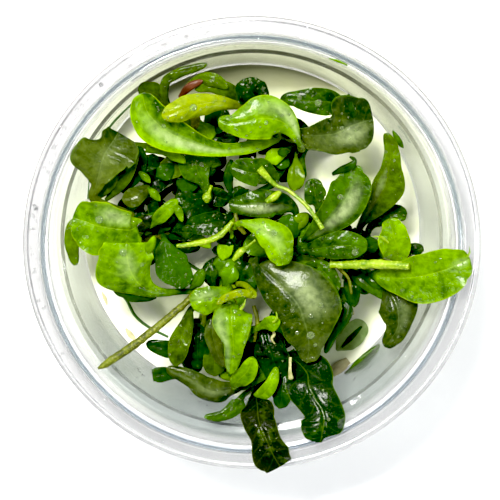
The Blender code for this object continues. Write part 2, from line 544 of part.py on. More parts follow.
    "leaf_s_pointed": ("bright", (-35, -35), "stem_southwest", 0.5, (
        (-5.6, -15.2, 36, 0.7, 0.7), (-4.4, -12, 41.6, 1, 1), (-4.5, -13.8, 44.8, 4.3, 4.2),
        (-4.3, -17.6, 46, 4.4, 3.8), (-4, -22.2, 45.4, 2.3, 2.2), (-4.6, -27.6, 43, 0.2, 0.2))),
    "leaf_s_strip": ("lime", (-60, -60), "stem_southwest", 1, (
        (-1.6, -8.4, 41.5, 0.7, 0.7), (0.2, -10.2, 46.4, 0.7, 0.7), (-2.6, -10, 48, 1, 1),
        (-5.6, -11, 47.6, 0.9, 0.9), (-7.6, -12.4, 46.8, 0.3, 0.3))),
    "leaf_s_shaded": ("dark", (-20, -20), "stem_south", 1, (
        (2.2, -17, 38, 1, 1), (3.4, -21, 40, 3.1, 3.1), (5, -25.4, 40.4, 3.6, 3.4),
        (7, -29.4, 39.4, 0.5, 0.5))),
    "leaf_s_lobed": ("green", (-22, -22), "stem_south", 0.46, (
        (8.4, -26.5, 37.5, 1.2, 1.2), (11.6, -28.6, 42, 4.8, 4), (13.4, -32, 45, 4.1, 3.4),
        (14.6, -35.2, 46.8, 4.9, 3.6), (15.6, -38.4, 47.8, 5, 4.8), (16.4, -40.8, 48, 3.6, 4.2))),
    "leaf_s_outer": ("olive", (-25, -25), "stem_south", 0.3, (
        (1.2, -31.4, 39.5, 1, 1), (1.3, -34.4, 44, 3.4, 3.2), (2, -38, 46.8, 3.2, 3.2),
        (3.6, -41.6, 48.2, 3.1, 3), (5.2, -45, 48.8, 3.4, 5), (6.4, -47.6, 48.4, 3.3, 3.2))),
    "leaf_s_thin": ("green", (-20, -20), "stem_south", 0.02, (
        (-1.6, -32.4, 37, 0.8, 0.8), (-3, -34.4, 39.6, 1.7, 2), (-6.4, -36.6, 40.6, 1.3, 1.2),
        (-10.3, -36.9, 40.8, 0.2, 0.2))),
    "leaf_s_underside": ("grey", (-40, -40), "stem_south", 0.55, (
        (-1.8, -29.9, 35, 0.8, 0.8), (-5, -31, 38.4, 2.2, 2), (-9, -31.2, 39.6, 2.9, 2.8),
        (-13, -28.9, 39.8, 2, 2.2), (-18.6, -26.3, 39, 0.3, 0.3))),
    "leaf_s_long": ("olive", (20, 20), "stem_southwest", 0.5, (
        (-12.8, -13.4, 36, 0.8, 0.8), (-14.2, -16.6, 39, 1.6, 1.4), (-15.8, -21, 41, 2.3, 2.2),
        (-16.6, -25.8, 40.6, 0.5, 0.5))),
    "leaf_s_blue": ("dark", (-20, -20), "stem_southwest", 0.3, (
        (-13, -16.4, 33, 0.9, 0.9), (-11.8, -18.8, 36.4, 2.2, 2.2), (-11.8, -22.6, 37, 2.6, 2.5),
        (-11.6, -26.4, 36.4, 0.4, 0.4))),
}


clear_scene()
make_cup()
make_gel()
for stem_name, stem_places in STEMS.items():
    stem_piece = tube(stem_name, "brown" if stem_name in BROWN_STEMS else "lime", stem_places)
    fuse(stem_piece, [low_leaf(stem_name, *low_parts) for low_parts in LOW_LEAVES.get(stem_name, ())])
for shoot_name, shoot_places in SHOOTS.items():
    tube(shoot_name, "lime", shoot_places)
for leaf_name, leaf_parts in LEAVES.items():
    leaf(leaf_name, *leaf_parts)
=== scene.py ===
"""The finished look of a tissue culture cup of Bucephalandra pygmaea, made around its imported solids.

Each section is one piece or one group of like pieces, in the order in which the real cup is put together.
Tables are in millimetres, and give leaves and stems by where they show from above: across, up, height.
"""

import math
import random

import bmesh
import bpy
from mathutils import Matrix, Vector, noise


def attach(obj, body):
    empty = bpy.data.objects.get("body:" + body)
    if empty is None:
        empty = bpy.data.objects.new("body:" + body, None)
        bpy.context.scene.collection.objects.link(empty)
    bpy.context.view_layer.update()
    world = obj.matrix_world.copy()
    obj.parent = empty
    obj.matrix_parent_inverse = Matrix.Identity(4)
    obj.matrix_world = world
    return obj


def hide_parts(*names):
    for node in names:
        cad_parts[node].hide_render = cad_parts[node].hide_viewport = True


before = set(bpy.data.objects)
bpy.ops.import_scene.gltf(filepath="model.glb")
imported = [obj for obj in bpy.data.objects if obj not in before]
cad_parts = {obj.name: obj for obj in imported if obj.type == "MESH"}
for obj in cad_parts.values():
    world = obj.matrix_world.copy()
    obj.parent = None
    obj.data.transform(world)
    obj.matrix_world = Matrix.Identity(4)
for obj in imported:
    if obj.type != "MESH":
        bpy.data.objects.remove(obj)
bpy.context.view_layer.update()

# The viewpoint: a camera held over the cup, a little behind its middle, looking at the middle of the rim.
# It is level with the picture, and a millimetre at the rim shows as 4.6 pixels of its 500.
MM = 0.001
RIM_HEIGHT = 45.0
EYE_DISTANCE = 450.0
EYE_TILT = math.radians(8.5)
PICTURE_WIDTH = 108.55
SENSOR = 36.0
SHIFT_RIGHT, SHIFT_UP = -0.0036, -0.005
HAZE = 0.026

eye = bpy.data.cameras.new("eye")
eye.sensor_width = SENSOR
eye.lens = SENSOR * EYE_DISTANCE / PICTURE_WIDTH
eye.shift_x, eye.shift_y = SHIFT_RIGHT, SHIFT_UP
eye.clip_start = 10 * MM
eye_axis = Vector((0, math.sin(EYE_TILT), math.cos(EYE_TILT)))
eye_up = Vector((0, math.cos(EYE_TILT), -math.sin(EYE_TILT)))
eye_stand = bpy.data.objects.new("eye", eye)
eye_place = (Vector((0, 0, RIM_HEIGHT)) + eye_axis * EYE_DISTANCE) * MM
turn = Matrix((Vector((1, 0, 0)), eye_up, eye_axis)).transposed().to_4x4()
eye_stand.matrix_world = Matrix.Translation(eye_place) @ turn
bpy.context.scene.collection.objects.link(eye_stand)
bpy.context.scene.camera = eye_stand
view = bpy.context.scene.view_settings
view.view_transform = "Standard"
view.use_curve_mapping = True
view.curve_mapping.black_level = (HAZE, HAZE, HAZE)
view.curve_mapping.update()

# The studio: a white table in a light tent, bright all round and dark only over the camera, with a softbox
# a little behind the cup and a narrow one to its right.
FLOOR_SIDE = 3.0
TENT_LIGHT = 2.35
SOFTBOXES = {
    "key_softbox": ((-0.14, 0.30, 0.66), (0.18, 0.18), 13.0, (1.0, 0.99, 0.96)),
    "right_softbox": ((0.62, -0.10, 0.45), (0.10, 0.40), 2.4, (0.96, 0.98, 1.0)),
}


def feed(tree, made, inputs):
    """Sets the inputs of a node or, where a socket is given, links them."""
    for name, value in inputs.items():
        if isinstance(value, bpy.types.NodeSocket):
            tree.links.new(value, made.inputs[name])
        else:
            made.inputs[name].default_value = value


def node(tree, kind, inputs=None, **settings):
    """A new shader node with its settings and its inputs."""
    made = tree.nodes.new("ShaderNode" + kind)
    for name, value in settings.items():
        setattr(made, name, value)
    feed(tree, made, inputs or {})
    return made


def place_on(tree):
    """The place on the piece, in metres."""
    return node(tree, "TexCoord").outputs["Object"]


def part_of(tree, vector, axis):
    """One axis of a vector."""
    return node(tree, "SeparateXYZ", {"Vector": vector}).outputs[axis]


def maths(tree, operation, *values, clamp=False):
    """One step of arithmetic."""
    return node(tree, "Math", dict(enumerate(values)), operation=operation, use_clamp=clamp).outputs["Value"]


def span(tree, value, low, high, start=0.0, end=1.0):
    """A value that goes from low to high, read as one from start to end and held there."""
    return node(tree, "MapRange", {
        "Value": value, "From Min": low, "From Max": high, "To Min": start, "To Max": end}).outputs["Result"]


def grains(tree, place, scale, detail, roughness=0.5):
    """Noise, mostly between 0.3 and 0.7, over a place."""
    return node(tree, "TexNoise", {
        "Vector": place, "Scale": scale, "Detail": detail, "Roughness": roughness}).outputs["Fac"]


def blend(tree, share, first, second):
    """A colour between two, which are constants or sockets."""
    first, second = (
        end if isinstance(end, bpy.types.NodeSocket) else (*end, 1) for end in (first, second))
    return node(tree, "Mix", {"Factor": share, "A": first, "B": second}, data_type="RGBA").outputs["Result"]


def ramp(tree, share, *stops):
    """A colour by a share, from stops of (position, colour)."""
    made = node(tree, "ValToRGB", {"Fac": share})
    elements = made.color_ramp.elements
    for element, (position, colour) in ((elements[0], stops[0]), (elements[1], stops[-1])):
        element.position, element.color = position, (*colour, 1)
    for position, colour in stops[1:-1]:
        elements.new(position).color = (*colour, 1)
    return made.outputs["Color"]


def bumped(tree, height, strength, distance):
    """The way a surface faces with fine relief on it, its distance in millimetres."""
    return node(tree, "Bump", {
        "Height": height, "Strength": strength, "Distance": distance * MM}).outputs["Normal"]


def finish_material(name):
    """A new material, its node tree and its Principled shader."""
    made = bpy.data.materials.new(name)
    made.use_nodes = True
    return made, made.node_tree, made.node_tree.nodes["Principled BSDF"]


def put_in_scene(name, work, materials, sharp=40):
    """The object of a bmesh that is in millimetres, shaded smooth and with its faces turned outwards."""
    bmesh.ops.recalc_face_normals(work, faces=work.faces)
    bmesh.ops.scale(work, vec=(MM, MM, MM), verts=work.verts)
    mesh = bpy.data.meshes.new(name)
    work.to_mesh(mesh)
    work.free()
    mesh.shade_smooth()
    mesh.set_sharp_from_angle(angle=math.radians(sharp))
    for material in materials:
        mesh.materials.append(material)
    made = bpy.data.objects.new(name, mesh)
    bpy.context.scene.collection.objects.link(made)
    return made


for box_name, (place, size, power, colour) in SOFTBOXES.items():
    lamp = bpy.data.lights.new(box_name, "AREA")
    lamp.shape = "RECTANGLE"
    lamp.size, lamp.size_y = size
    lamp.energy = power
    lamp.color = colour
    stand = bpy.data.objects.new(box_name, lamp)
    stand.location = place
    stand.rotation_euler = Vector(place).to_track_quat("Z", "Y").to_euler()
    bpy.context.scene.collection.objects.link(stand)

room = bpy.data.worlds.new("room")
room.use_nodes = True
room_tree = room.node_tree
room_height = part_of(room_tree, node(room_tree, "TexCoord").outputs["Generated"], "Z")
feed(room_tree, room_tree.nodes["Background"], {
    "Color": ramp(room_tree, room_height, (0.50, (0.97, 0.985, 1.0)), (0.76, (0.07, 0.075, 0.08))),
    "Strength": TENT_LIGHT})
bpy.context.scene.world = room

table_work = bmesh.new()
bmesh.ops.create_grid(table_work, x_segments=8, y_segments=8, size=FLOOR_SIDE / MM / 2)
table_paint, table_tree, table_shader = finish_material("light_table")
table_spots = grains(table_tree, place_on(table_tree), 3.0, 2.0)
feed(table_tree, table_shader, {
    "Base Color": ramp(table_tree, table_spots, (0, (0.73, 0.73, 0.73)), (1, (0.76, 0.76, 0.76))),
    "Roughness": 0.8})
table = put_in_scene("light_table", table_work, [table_paint])

# The cup: one thin moulding of clear, faintly milky plastic, with a foot ring, a tapered wall, a stacking
# shoulder, a rolled rim and a flat flange with a turned-down edge. Handling has left fine scratches on it.
FLANGE_RADIUS = 50.0
RIM_RADIUS = 44.6
SHOULDER_RADIUS = 43.4
SHOULDER_HEIGHT = 36.0
WALL_TOP_RADIUS = 41.6
FLOOR_RADIUS = 34.6
FLOOR_HEIGHT = 2.0
FLOOR_CORNER = 1.3
WALL = 0.9
FOOT_WIDTH = 2.6
FOOT_RECESS = 0.9
FLANGE_DROP = 1.4
SKIRT = 1.5
RIM_CREST = 0.5
RIM_WIDTH = 1.7
EASE = 0.3
RIDGE = 0.15
TURN_STEPS = 180
CORNER_RADIUS = 0.16
# Painted shade over the gel: partly a film of moisture, mostly painted shade and a painted reflection of the
# plants, darkest to the north and the south.
WALL_SHADE_TINTS = (
    (0.02, (0.46, 0.50, 0.48)), (0.14, (0.52, 0.56, 0.52)), (0.30, (0.74, 0.77, 0.66)),
    (0.70, (0.76, 0.79, 0.66)), (0.88, (0.54, 0.56, 0.42)), (0.97, (0.43, 0.45, 0.32)))
WALL_SHADE_UNDER = (37.5 * MM, 41 * MM)
GEL_BELOW = (19 * MM, 22.5 * MM)
FLANGE_FROM = (45.5 * MM, 46.8 * MM)
ROLL_WITHIN = (0.3 * MM, 0.75 * MM)
ROLL_ABOVE = (43.4 * MM, 43.9 * MM)
# Painted shade on the flange: lighter on its shaded south-east side, darker on its north-west side towards the
# key softbox, to even out its light.
FLANGE_SHADE_BY_LIGHT = ((0.65, 0.65, 0.65), (0.47, 0.47, 0.47))
CLEAR_TINT = (0.84, 0.84, 0.845)
# A painted reflection: the blue-grey line on the rolled rim.
ROLL_REFLECTION_TINT = (0.42, 0.50, 0.60)


def turned(profile, steps=TURN_STEPS):
    """A round bmesh from (radius, height) points that start and end on the axis."""
    work = bmesh.new()
    points = [work.verts.new((radius, 0, height)) for radius, height in profile]
    edges = [work.edges.new(pair) for pair in zip(points, points[1:])]
    bmesh.ops.spin(
        work, geom=points + edges, axis=(0, 0, 1), angle=2 * math.pi, steps=steps, use_merge=True)
    bmesh.ops.remove_doubles(work, verts=work.verts, dist=0.001)
    return work


def ease_corners(piece, width, least_angle=12):
    """Rounds the moulded corners of a turned piece."""
    rounding = piece.modifiers.new("corners", "BEVEL")
    rounding.width = width * MM
    rounding.segments = 2
    rounding.limit_method = "ANGLE"
    rounding.angle_limit = math.radians(least_angle)
    rounding.use_clamp_overlap = True


def round_place(tree):
    """Object coordinates read round the cup's axis: a vector of radius, turn and height."""
    parts = node(tree, "SeparateXYZ", {"Vector": place_on(tree)}).outputs
    level = node(tree, "CombineXYZ", {"X": parts["X"], "Y": parts["Y"]}).outputs["Vector"]
    radius = node(tree, "VectorMath", {0: level}, operation="LENGTH").outputs["Value"]
    angle = maths(tree, "ARCTAN2", parts["Y"], parts["X"])
    return node(tree, "CombineXYZ", {"X": radius, "Y": angle, "Z": parts["Z"]}).outputs["Vector"]


def clear_plastic():
    """Clear plastic with fine scratches round the axis and a few specks. Over the gel the wall is tinted
    grey-green, partly by a film of moisture and mostly by painted shade and a painted reflection of the gel and
    the plants, darkest to the north and the south. The rolled rim carries a painted blue-grey reflection line,
    and the flange is greyer and painted darker on its north-west side, where the key softbox lights it most."""
    made, tree, shader = finish_material("clear_plastic")
    place, turned_place = place_on(tree), round_place(tree)
    radius, height = part_of(tree, turned_place, "X"), part_of(tree, place, "Z")
    ways = node(tree, "Mapping", {"Vector": turned_place, "Scale": (2500, 3, 2500)}).outputs["Vector"]
    specks = span(tree, grains(tree, place, 1400.0, 1.0), 0.70, 0.78)
    marks = maths(tree, "ADD", grains(tree, ways, 1.0, 3.0), specks)
    level = node(tree, "VectorMath", {0: place, 1: (1, 1, 0)}, operation="MULTIPLY").outputs["Vector"]
    level = node(tree, "VectorMath", {0: level}, operation="NORMALIZE").outputs["Vector"]
    # Painted shade and a painted reflection of the plants on the wall, by its side of the cup.
    wall_shade = ramp(tree, span(tree, part_of(tree, level, "Y"), -1.0, 1.0), *WALL_SHADE_TINTS)
    # The flange is painted darker towards the key softbox, where its light is strongest.
    lit = node(tree, "VectorMath", {0: level, 1: (-0.7, 0.7, 0)}, operation="DOT_PRODUCT").outputs["Value"]
    flange = blend(tree, span(tree, lit, -0.6, 0.6), *FLANGE_SHADE_BY_LIGHT)
    dry = blend(tree, span(tree, radius, *FLANGE_FROM), CLEAR_TINT, flange)
    over, under = span(tree, height, *WALL_SHADE_UNDER), span(tree, height, *GEL_BELOW, 1.0, 0.0)
    wall = blend(tree, maths(tree, "MAXIMUM", over, under), wall_shade, dry)
    # The rolled rim gets its painted blue-grey reflection line.
    from_roll = maths(tree, "SUBTRACT", radius, (RIM_RADIUS + RIM_WIDTH / 2) * MM)
    near = span(tree, maths(tree, "ABSOLUTE", from_roll), *ROLL_WITHIN, 1.0, 0.0)
    on_roll = maths(tree, "MULTIPLY", near, span(tree, height, *ROLL_ABOVE))
    feed(tree, shader, {
        "Base Color": blend(tree, on_roll, wall, ROLL_REFLECTION_TINT),
        "Roughness": span(tree, grains(tree, place, 90.0, 4.0), 0.35, 0.7, 0.06, 0.22),
        "Normal": bumped(tree, marks, 0.25, 0.1), "Transmission Weight": 0.88, "IOR": 1.49})
    return made


flange_top = RIM_HEIGHT - FLANGE_DROP
foot_inner = FLOOR_RADIUS - FOOT_WIDTH
cup_profile = [
    (0, FLOOR_HEIGHT),
    (FLOOR_RADIUS - FLOOR_CORNER, FLOOR_HEIGHT),
    (FLOOR_RADIUS - FLOOR_CORNER * 0.3, FLOOR_HEIGHT + FLOOR_CORNER * 0.3),
    (FLOOR_RADIUS, FLOOR_HEIGHT + FLOOR_CORNER),
    (WALL_TOP_RADIUS, SHOULDER_HEIGHT - EASE),
    (SHOULDER_RADIUS, SHOULDER_HEIGHT + EASE),
    (RIM_RADIUS, RIM_HEIGHT - EASE),
    (RIM_RADIUS + RIM_CREST, RIM_HEIGHT),
    (RIM_RADIUS + RIM_WIDTH - RIM_CREST, RIM_HEIGHT - EASE),
    (RIM_RADIUS + RIM_WIDTH, flange_top + EASE),
    (RIM_RADIUS + RIM_WIDTH + EASE, flange_top),
    (FLANGE_RADIUS - WALL - RIDGE * 4, flange_top),
    (FLANGE_RADIUS - WALL - RIDGE * 2, flange_top + RIDGE),
    (FLANGE_RADIUS - WALL / 2, flange_top),
    (FLANGE_RADIUS, flange_top - SKIRT / 2),
    (FLANGE_RADIUS, flange_top - SKIRT),
    (FLANGE_RADIUS - WALL, flange_top - SKIRT),
    (FLANGE_RADIUS - WALL - EASE, flange_top - WALL),
    (RIM_RADIUS + WALL, flange_top - WALL),
    (SHOULDER_RADIUS + WALL, SHOULDER_HEIGHT - EASE),
    (WALL_TOP_RADIUS + WALL, SHOULDER_HEIGHT - EASE - WALL),
    (FLOOR_RADIUS + WALL, FLOOR_HEIGHT),
    (FLOOR_RADIUS + EASE, FOOT_RECESS / 2),
    (FLOOR_RADIUS, 0),
    (foot_inner, 0),
    (foot_inner - EASE, FOOT_RECESS),
    (0, FOOT_RECESS),
]
clear_cup = put_in_scene("clear_cup", turned(cup_profile), [clear_plastic()], sharp=60)
ease_corners(clear_cup, CORNER_RADIUS)
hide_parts("cup")
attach(clear_cup, "root")

# The gel: pale nutrient gel poured hot into the cup, set cloudy and cream, wet on top. It climbs a
# little where it meets the wall, and its top is faintly uneven.
GEL_HEIGHT = 21.0
MENISCUS = 0.6
MENISCUS_WIDTH = 2.4
GAP = 0.3
GEL_RINGS = 26
GEL_UNEVEN = 0.22
GEL_TURN_STEPS = 120
GEL_TONES = ((0.12, (0.85, 0.91, 0.56)), (0.34, (0.985, 0.99, 0.84)))
# Painted shade and a painted reflection of the plants: the gel turns dark green towards the north wall, with a
# ragged edge.
GEL_NORTH_SHADE = (0.28, 0.29, 0.155)
GEL_SHADE_FROM = (29.5 * MM, 36 * MM)
GEL_SHADE_RAGGED = 5 * MM


def inner_wall(height):
    """Radius of the cup's inner wall below the shoulder."""
    low = FLOOR_HEIGHT + FLOOR_CORNER
    share = (height - low) / (SHOULDER_HEIGHT - low)
    return FLOOR_RADIUS + share * (WALL_TOP_RADIUS - FLOOR_RADIUS)


def gel_finish():
    """Cloudy wet gel: cream, see-through enough for sunk leaves to show softly, with painted shade and a
    painted reflection of the plants, dark green, towards the north wall.
    """
    made, tree, shader = finish_material("cloudy_gel")
    place = place_on(tree)
    ways = node(tree, "Mapping", {"Vector": round_place(tree), "Scale": (260, 4.0, 260)}).outputs["Vector"]
    swirl, cloud = grains(tree, ways, 1.0, 3.0), grains(tree, place, 60.0, 3.0)
    cream = ramp(tree, maths(tree, "MULTIPLY", swirl, cloud), *GEL_TONES)
    # How far into the painted shade by the north wall a place lies.
    north = maths(tree, "MULTIPLY_ADD", cloud, GEL_SHADE_RAGGED, part_of(tree, place, "Y"))
    feed(tree, shader, {
        "Base Color": blend(tree, span(tree, north, *GEL_SHADE_FROM, 0.0, 0.92), cream, GEL_NORTH_SHADE),
        "Normal": bumped(tree, swirl, 0.3, 0.4), "Roughness": 0.22, "Transmission Weight": 0.14,
        "IOR": 1.34, "Coat Weight": 0.3, "Coat Roughness": 0.05})
    return made


gel_edge_height = GEL_HEIGHT + MENISCUS
gel_edge = inner_wall(gel_edge_height) - GAP
gel_flat = gel_edge - MENISCUS_WIDTH
gel_foot = FLOOR_HEIGHT + GAP
gel_profile = [(gel_flat * ring / GEL_RINGS, GEL_HEIGHT) for ring in range(GEL_RINGS + 1)]
for step in range(1, 6):
    share = step / 6
    gel_profile.append((gel_flat + share * MENISCUS_WIDTH, GEL_HEIGHT + MENISCUS * share ** 3))
gel_profile += [
    (gel_edge, gel_edge_height),
    (FLOOR_RADIUS - GAP, gel_foot + FLOOR_CORNER),
    (FLOOR_RADIUS - FLOOR_CORNER - GAP, gel_foot),
    (0, gel_foot),
]
gel_work = turned(gel_profile, steps=GEL_TURN_STEPS)
for point in gel_work.verts:
    radius = math.hypot(point.co.x, point.co.y)
    if point.co.z > GEL_HEIGHT - GAP and radius < gel_flat:
        swell = noise.noise(point.co * 0.11) + 0.4 * noise.noise(point.co * 0.33)
        point.co.z += GEL_UNEVEN * swell * (1 - (radius / gel_flat) ** 4)
set_gel = put_in_scene("set_gel", gel_work, [gel_finish()])
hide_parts("gel")
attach(set_gel, "root")

# The creeping stems: fleshy rhizomes, brown-green where old and yellow-green where young, ringed by the
# scars of fallen leaves. They lie on the gel, root into it and carry all the leaves.
STEMS = {
    "stem_northwest": (
        (-16, 12, 22.6, 1.3), (-15, 16, 26, 1.7), (-13, 20, 30, 1.5), (-12, 25, 33, 1.3),
        (-12.5, 29, 35.5, 1)),
    "stem_northeast": (
        (17, 22, 22.6, 1.3), (14, 22.5, 26, 1.6), (10, 23, 30, 1.5), (5, 25, 33, 1.3),
        (0, 27, 35.5, 1)),
    "stem_west": (
        (-27, 3, 22.6, 1.3), (-24, 1.5, 26, 1.6), (-21, 2, 30, 1.4), (-18, 4, 33, 1.1)),
    "stem_middle": (
        (2, -1, 22.6, 1.3), (0, 2, 26, 1.7), (-2, 6, 31, 1.4), (-3.5, 10, 35, 1.1)),
    "stem_east": (
        (31, -4, 22.6, 1.3), (26, -3, 26, 1.7), (21, -2.5, 29.5, 1.5), (16, -2, 32.5, 1.3),
        (12, 1, 35, 1)),
    "stem_lower": (
        (13, -13, 22.6, 1.3), (11, -10, 26, 1.6), (8, -6, 30, 1.4), (6, -2, 33.5, 1.2),
        (7, 2, 36, 1)),
    "stem_southwest": (
        (-10, -21, 22.6, 1.3), (-10.5, -17, 26, 1.6), (-9, -13, 30.5, 1.4),
        (-6.5, -9.5, 34.5, 1.2), (-4, -8, 37, 0.9)),
    "stem_south": (
        (2, -30, 22.6, 1.3), (4, -26.5, 25.5, 1.6), (4, -22.5, 29.5, 1.4), (2, -19, 33.5, 1.1)),
    "stem_loose": (
        (-12.6, -10.4, 38, 0.8), (-17, -14.3, 39, 0.8), (-24, -20, 40.5, 0.9),
        (-31, -24.8, 41.8, 0.85), (-33.4, -26.3, 42.2, 0.25)),
    "stem_cut_east": (
        (17, -3.7, 41.8, 0.7), (21, -3.8, 42.6, 0.9), (27, -3.6, 44.7, 1), (34.2, -4, 47.2, 0.8)),
    "stem_arching": (
        (-4.2, 5.6, 40.5, 0.6), (-7, 2.6, 41, 0.65), (-11, 1.1, 40.6, 0.65), (-16.3, 0.3, 40, 0.4)),
}
BROWN_STEMS = ("stem_loose", "stem_northwest", "stem_west", "stem_middle", "stem_lower")
STEM_SIDES = 14
STEM_STEPS = 14
SCAR_SPACING = 1.9
SCAR_HEIGHT = 0.10
LUMP_HEIGHT = 0.14


def seen_at(across, up, height):
    """Real place of a point that shows at (across, up) in rim millimetres, at its height."""
    over_rim = height - RIM_HEIGHT
    sine, cosine = math.sin(EYE_TILT), math.cos(EYE_TILT)
    back = up * (EYE_DISTANCE - over_rim * cosine) + over_rim * sine * EYE_DISTANCE
    back /= EYE_DISTANCE * cosine + up * sine
    nearer = back * sine + over_rim * cosine
    return Vector((across * (1 - nearer / EYE_DISTANCE), back, height))


def smooth_row(rows, step):
    """Catmull-Rom reading of a list of equal-length rows, where a step of 1 is one row."""
    last = len(rows) - 1
    index = min(int(step), last - 1)
    share = step - index
    picked = [rows[min(max(index + offset, 0), last)] for offset in (-1, 0, 1, 2)]
    weights = (
        ((2 - share) * share - 1) * share / 2,
        ((3 * share - 5) * share * share + 2) / 2,
        ((4 - 3 * share) * share + 1) * share / 2,
        (share - 1) * share * share / 2,
    )
    return [sum(w * row[k] for w, row in zip(weights, picked)) for k in range(len(rows[0]))]


def smooth_rows(rows, steps):
    """A list of rows read at a number of steps from each row to the next."""
    count = (len(rows) - 1) * steps
    return [smooth_row(rows, i / steps) for i in range(count + 1)]


def ways_along(centres):
    """For each centre, the level direction to its left and the direction of its upper side."""
    found = []
    for i in range(len(centres)):
        ahead = centres[min(i + 1, len(centres) - 1)] - centres[max(i - 1, 0)]
        left_way = Vector((0, 0, 1)).cross(ahead).normalized()
        found.append((left_way, ahead.normalized().cross(left_way)))
    return found


def loft(work, rings):
    """Adds a closed form through rings of points to a bmesh: a filled ring, extruded from ring to ring."""
    made = bmesh.ops.create_circle(work, cap_ends=True, radius=1, segments=len(rings[0]))
    first = face = made["verts"][0].link_faces[0]
    for point, place in zip(face.verts, rings[0]):
        point.co = place
    for ring in rings[1:]:
        raised = bmesh.ops.extrude_face_region(work, geom=[face])["geom"]
        if face is not first:
            bmesh.ops.delete(work, geom=[face], context="FACES_ONLY")
        face = next(item for item in raised if isinstance(item, bmesh.types.BMFace))
        for point, place in zip(face.verts, ring):
            point.co = place


def tube_rings(rows, sides, lumpy=0.0, scars=0.0):
    """Rings of a round stem through rows of (x, y, z, radius), with lumps and leaf scars."""
    centres = [Vector(row[:3]) for row in rows]
    rings = []
    gone = 0.0
    for i, (row, centre, (left_way, up_way)) in enumerate(zip(rows, centres, ways_along(centres))):
        gone += (centre - centres[max(i - 1, 0)]).length
        scar = scars * max(0.0, math.cos(2 * math.pi * gone / SCAR_SPACING)) ** 6
        ring = []
        for side in range(sides):
            turn_by = 2 * math.pi * side / sides
            spoke = left_way * math.cos(turn_by) + up_way * math.sin(turn_by)
            lump = lumpy * noise.noise((centre + spoke * row[3]) * 0.9)
            ring.append(centre + spoke * (row[3] + scar + lump))
        rings.append(ring)
    return rings


def rind(name, old, young, rib, roughness, wax):
    """Stem rind: a mottled mix of two tones with pale flecks and a waxy gloss."""
    made, tree, shader = finish_material(name)
    place = place_on(tree)
    speckle = grains(tree, place, 2400.0, 2.0)
    tone = ramp(tree, grains(tree, place, 420.0, 4.0), (0.36, old), (0.62, young))
    feed(tree, shader, {
        "Base Color": blend(tree, span(tree, speckle, 0.52, 0.72), tone, rib),
        "Normal": bumped(tree, speckle, 0.4, 0.15), "Roughness": roughness,
        "Specular IOR Level": 0.2, "Coat Weight": wax, "Coat Roughness": 0.15})
    return made


old_rind = rind(
    "old_rind", (0.0266, 0.0342, 0.00152), (0.0874, 0.106, 0.00456), (0.167, 0.182, 0.0228), 0.6, 0.03)
young_rind = rind(
    "young_rind", (0.0684, 0.137, 0.00152), (0.175, 0.258, 0.00456), (0.289, 0.35, 0.0456), 0.4, 0.15)


def stem_rows(name):
    return [(*seen_at(*place[:3]), place[3]) for place in STEMS[name]]


# The grown leaves: small leathery ovals on channelled stalks, mid green and waxy, with a sunk midrib, fine
# side veins, a slightly waved margin and a paler underside. Tables of leaves give each blade from stalk to
# tip by rows of (across, up, height, half-width left, half-width right), the last left out where equal.
STALK_START = 0.7
STALK_HALF_WIDTH = 0.8
STALK_THICKNESS = 1.2
BLADE_HALF_WIDTH = 2.4
BLADE_THICKNESS = 0.45
LEAST_BEND = 0.05
LEAF_STEPS = 11
LEAF_SIDES = 22
MIDRIB_SPREAD = 1.3
GROOVE_DEPTH = 0.22
GROOVE_WIDTH = 0.42
KEEL_DEPTH = 0.28
MARGIN_THINNING = 0.6
MARGIN_WAVE = 0.28
WAVES = 3.4
OUTLINE_WAVE = 0.05
TIP_ROUNDNESS = 0.8
QUILT = 0.05
# A painted sheen: a pale patch painted on some leaves where a highlight shows, its width across and its tone.
PAINTED_SHEEN_WIDTH = 0.3
PAINTED_SHEEN_TONE = (0.25, 0.30, 0.14)
VEINS = 9
VEIN_SLANT = -2.2
leaf_forms = {}
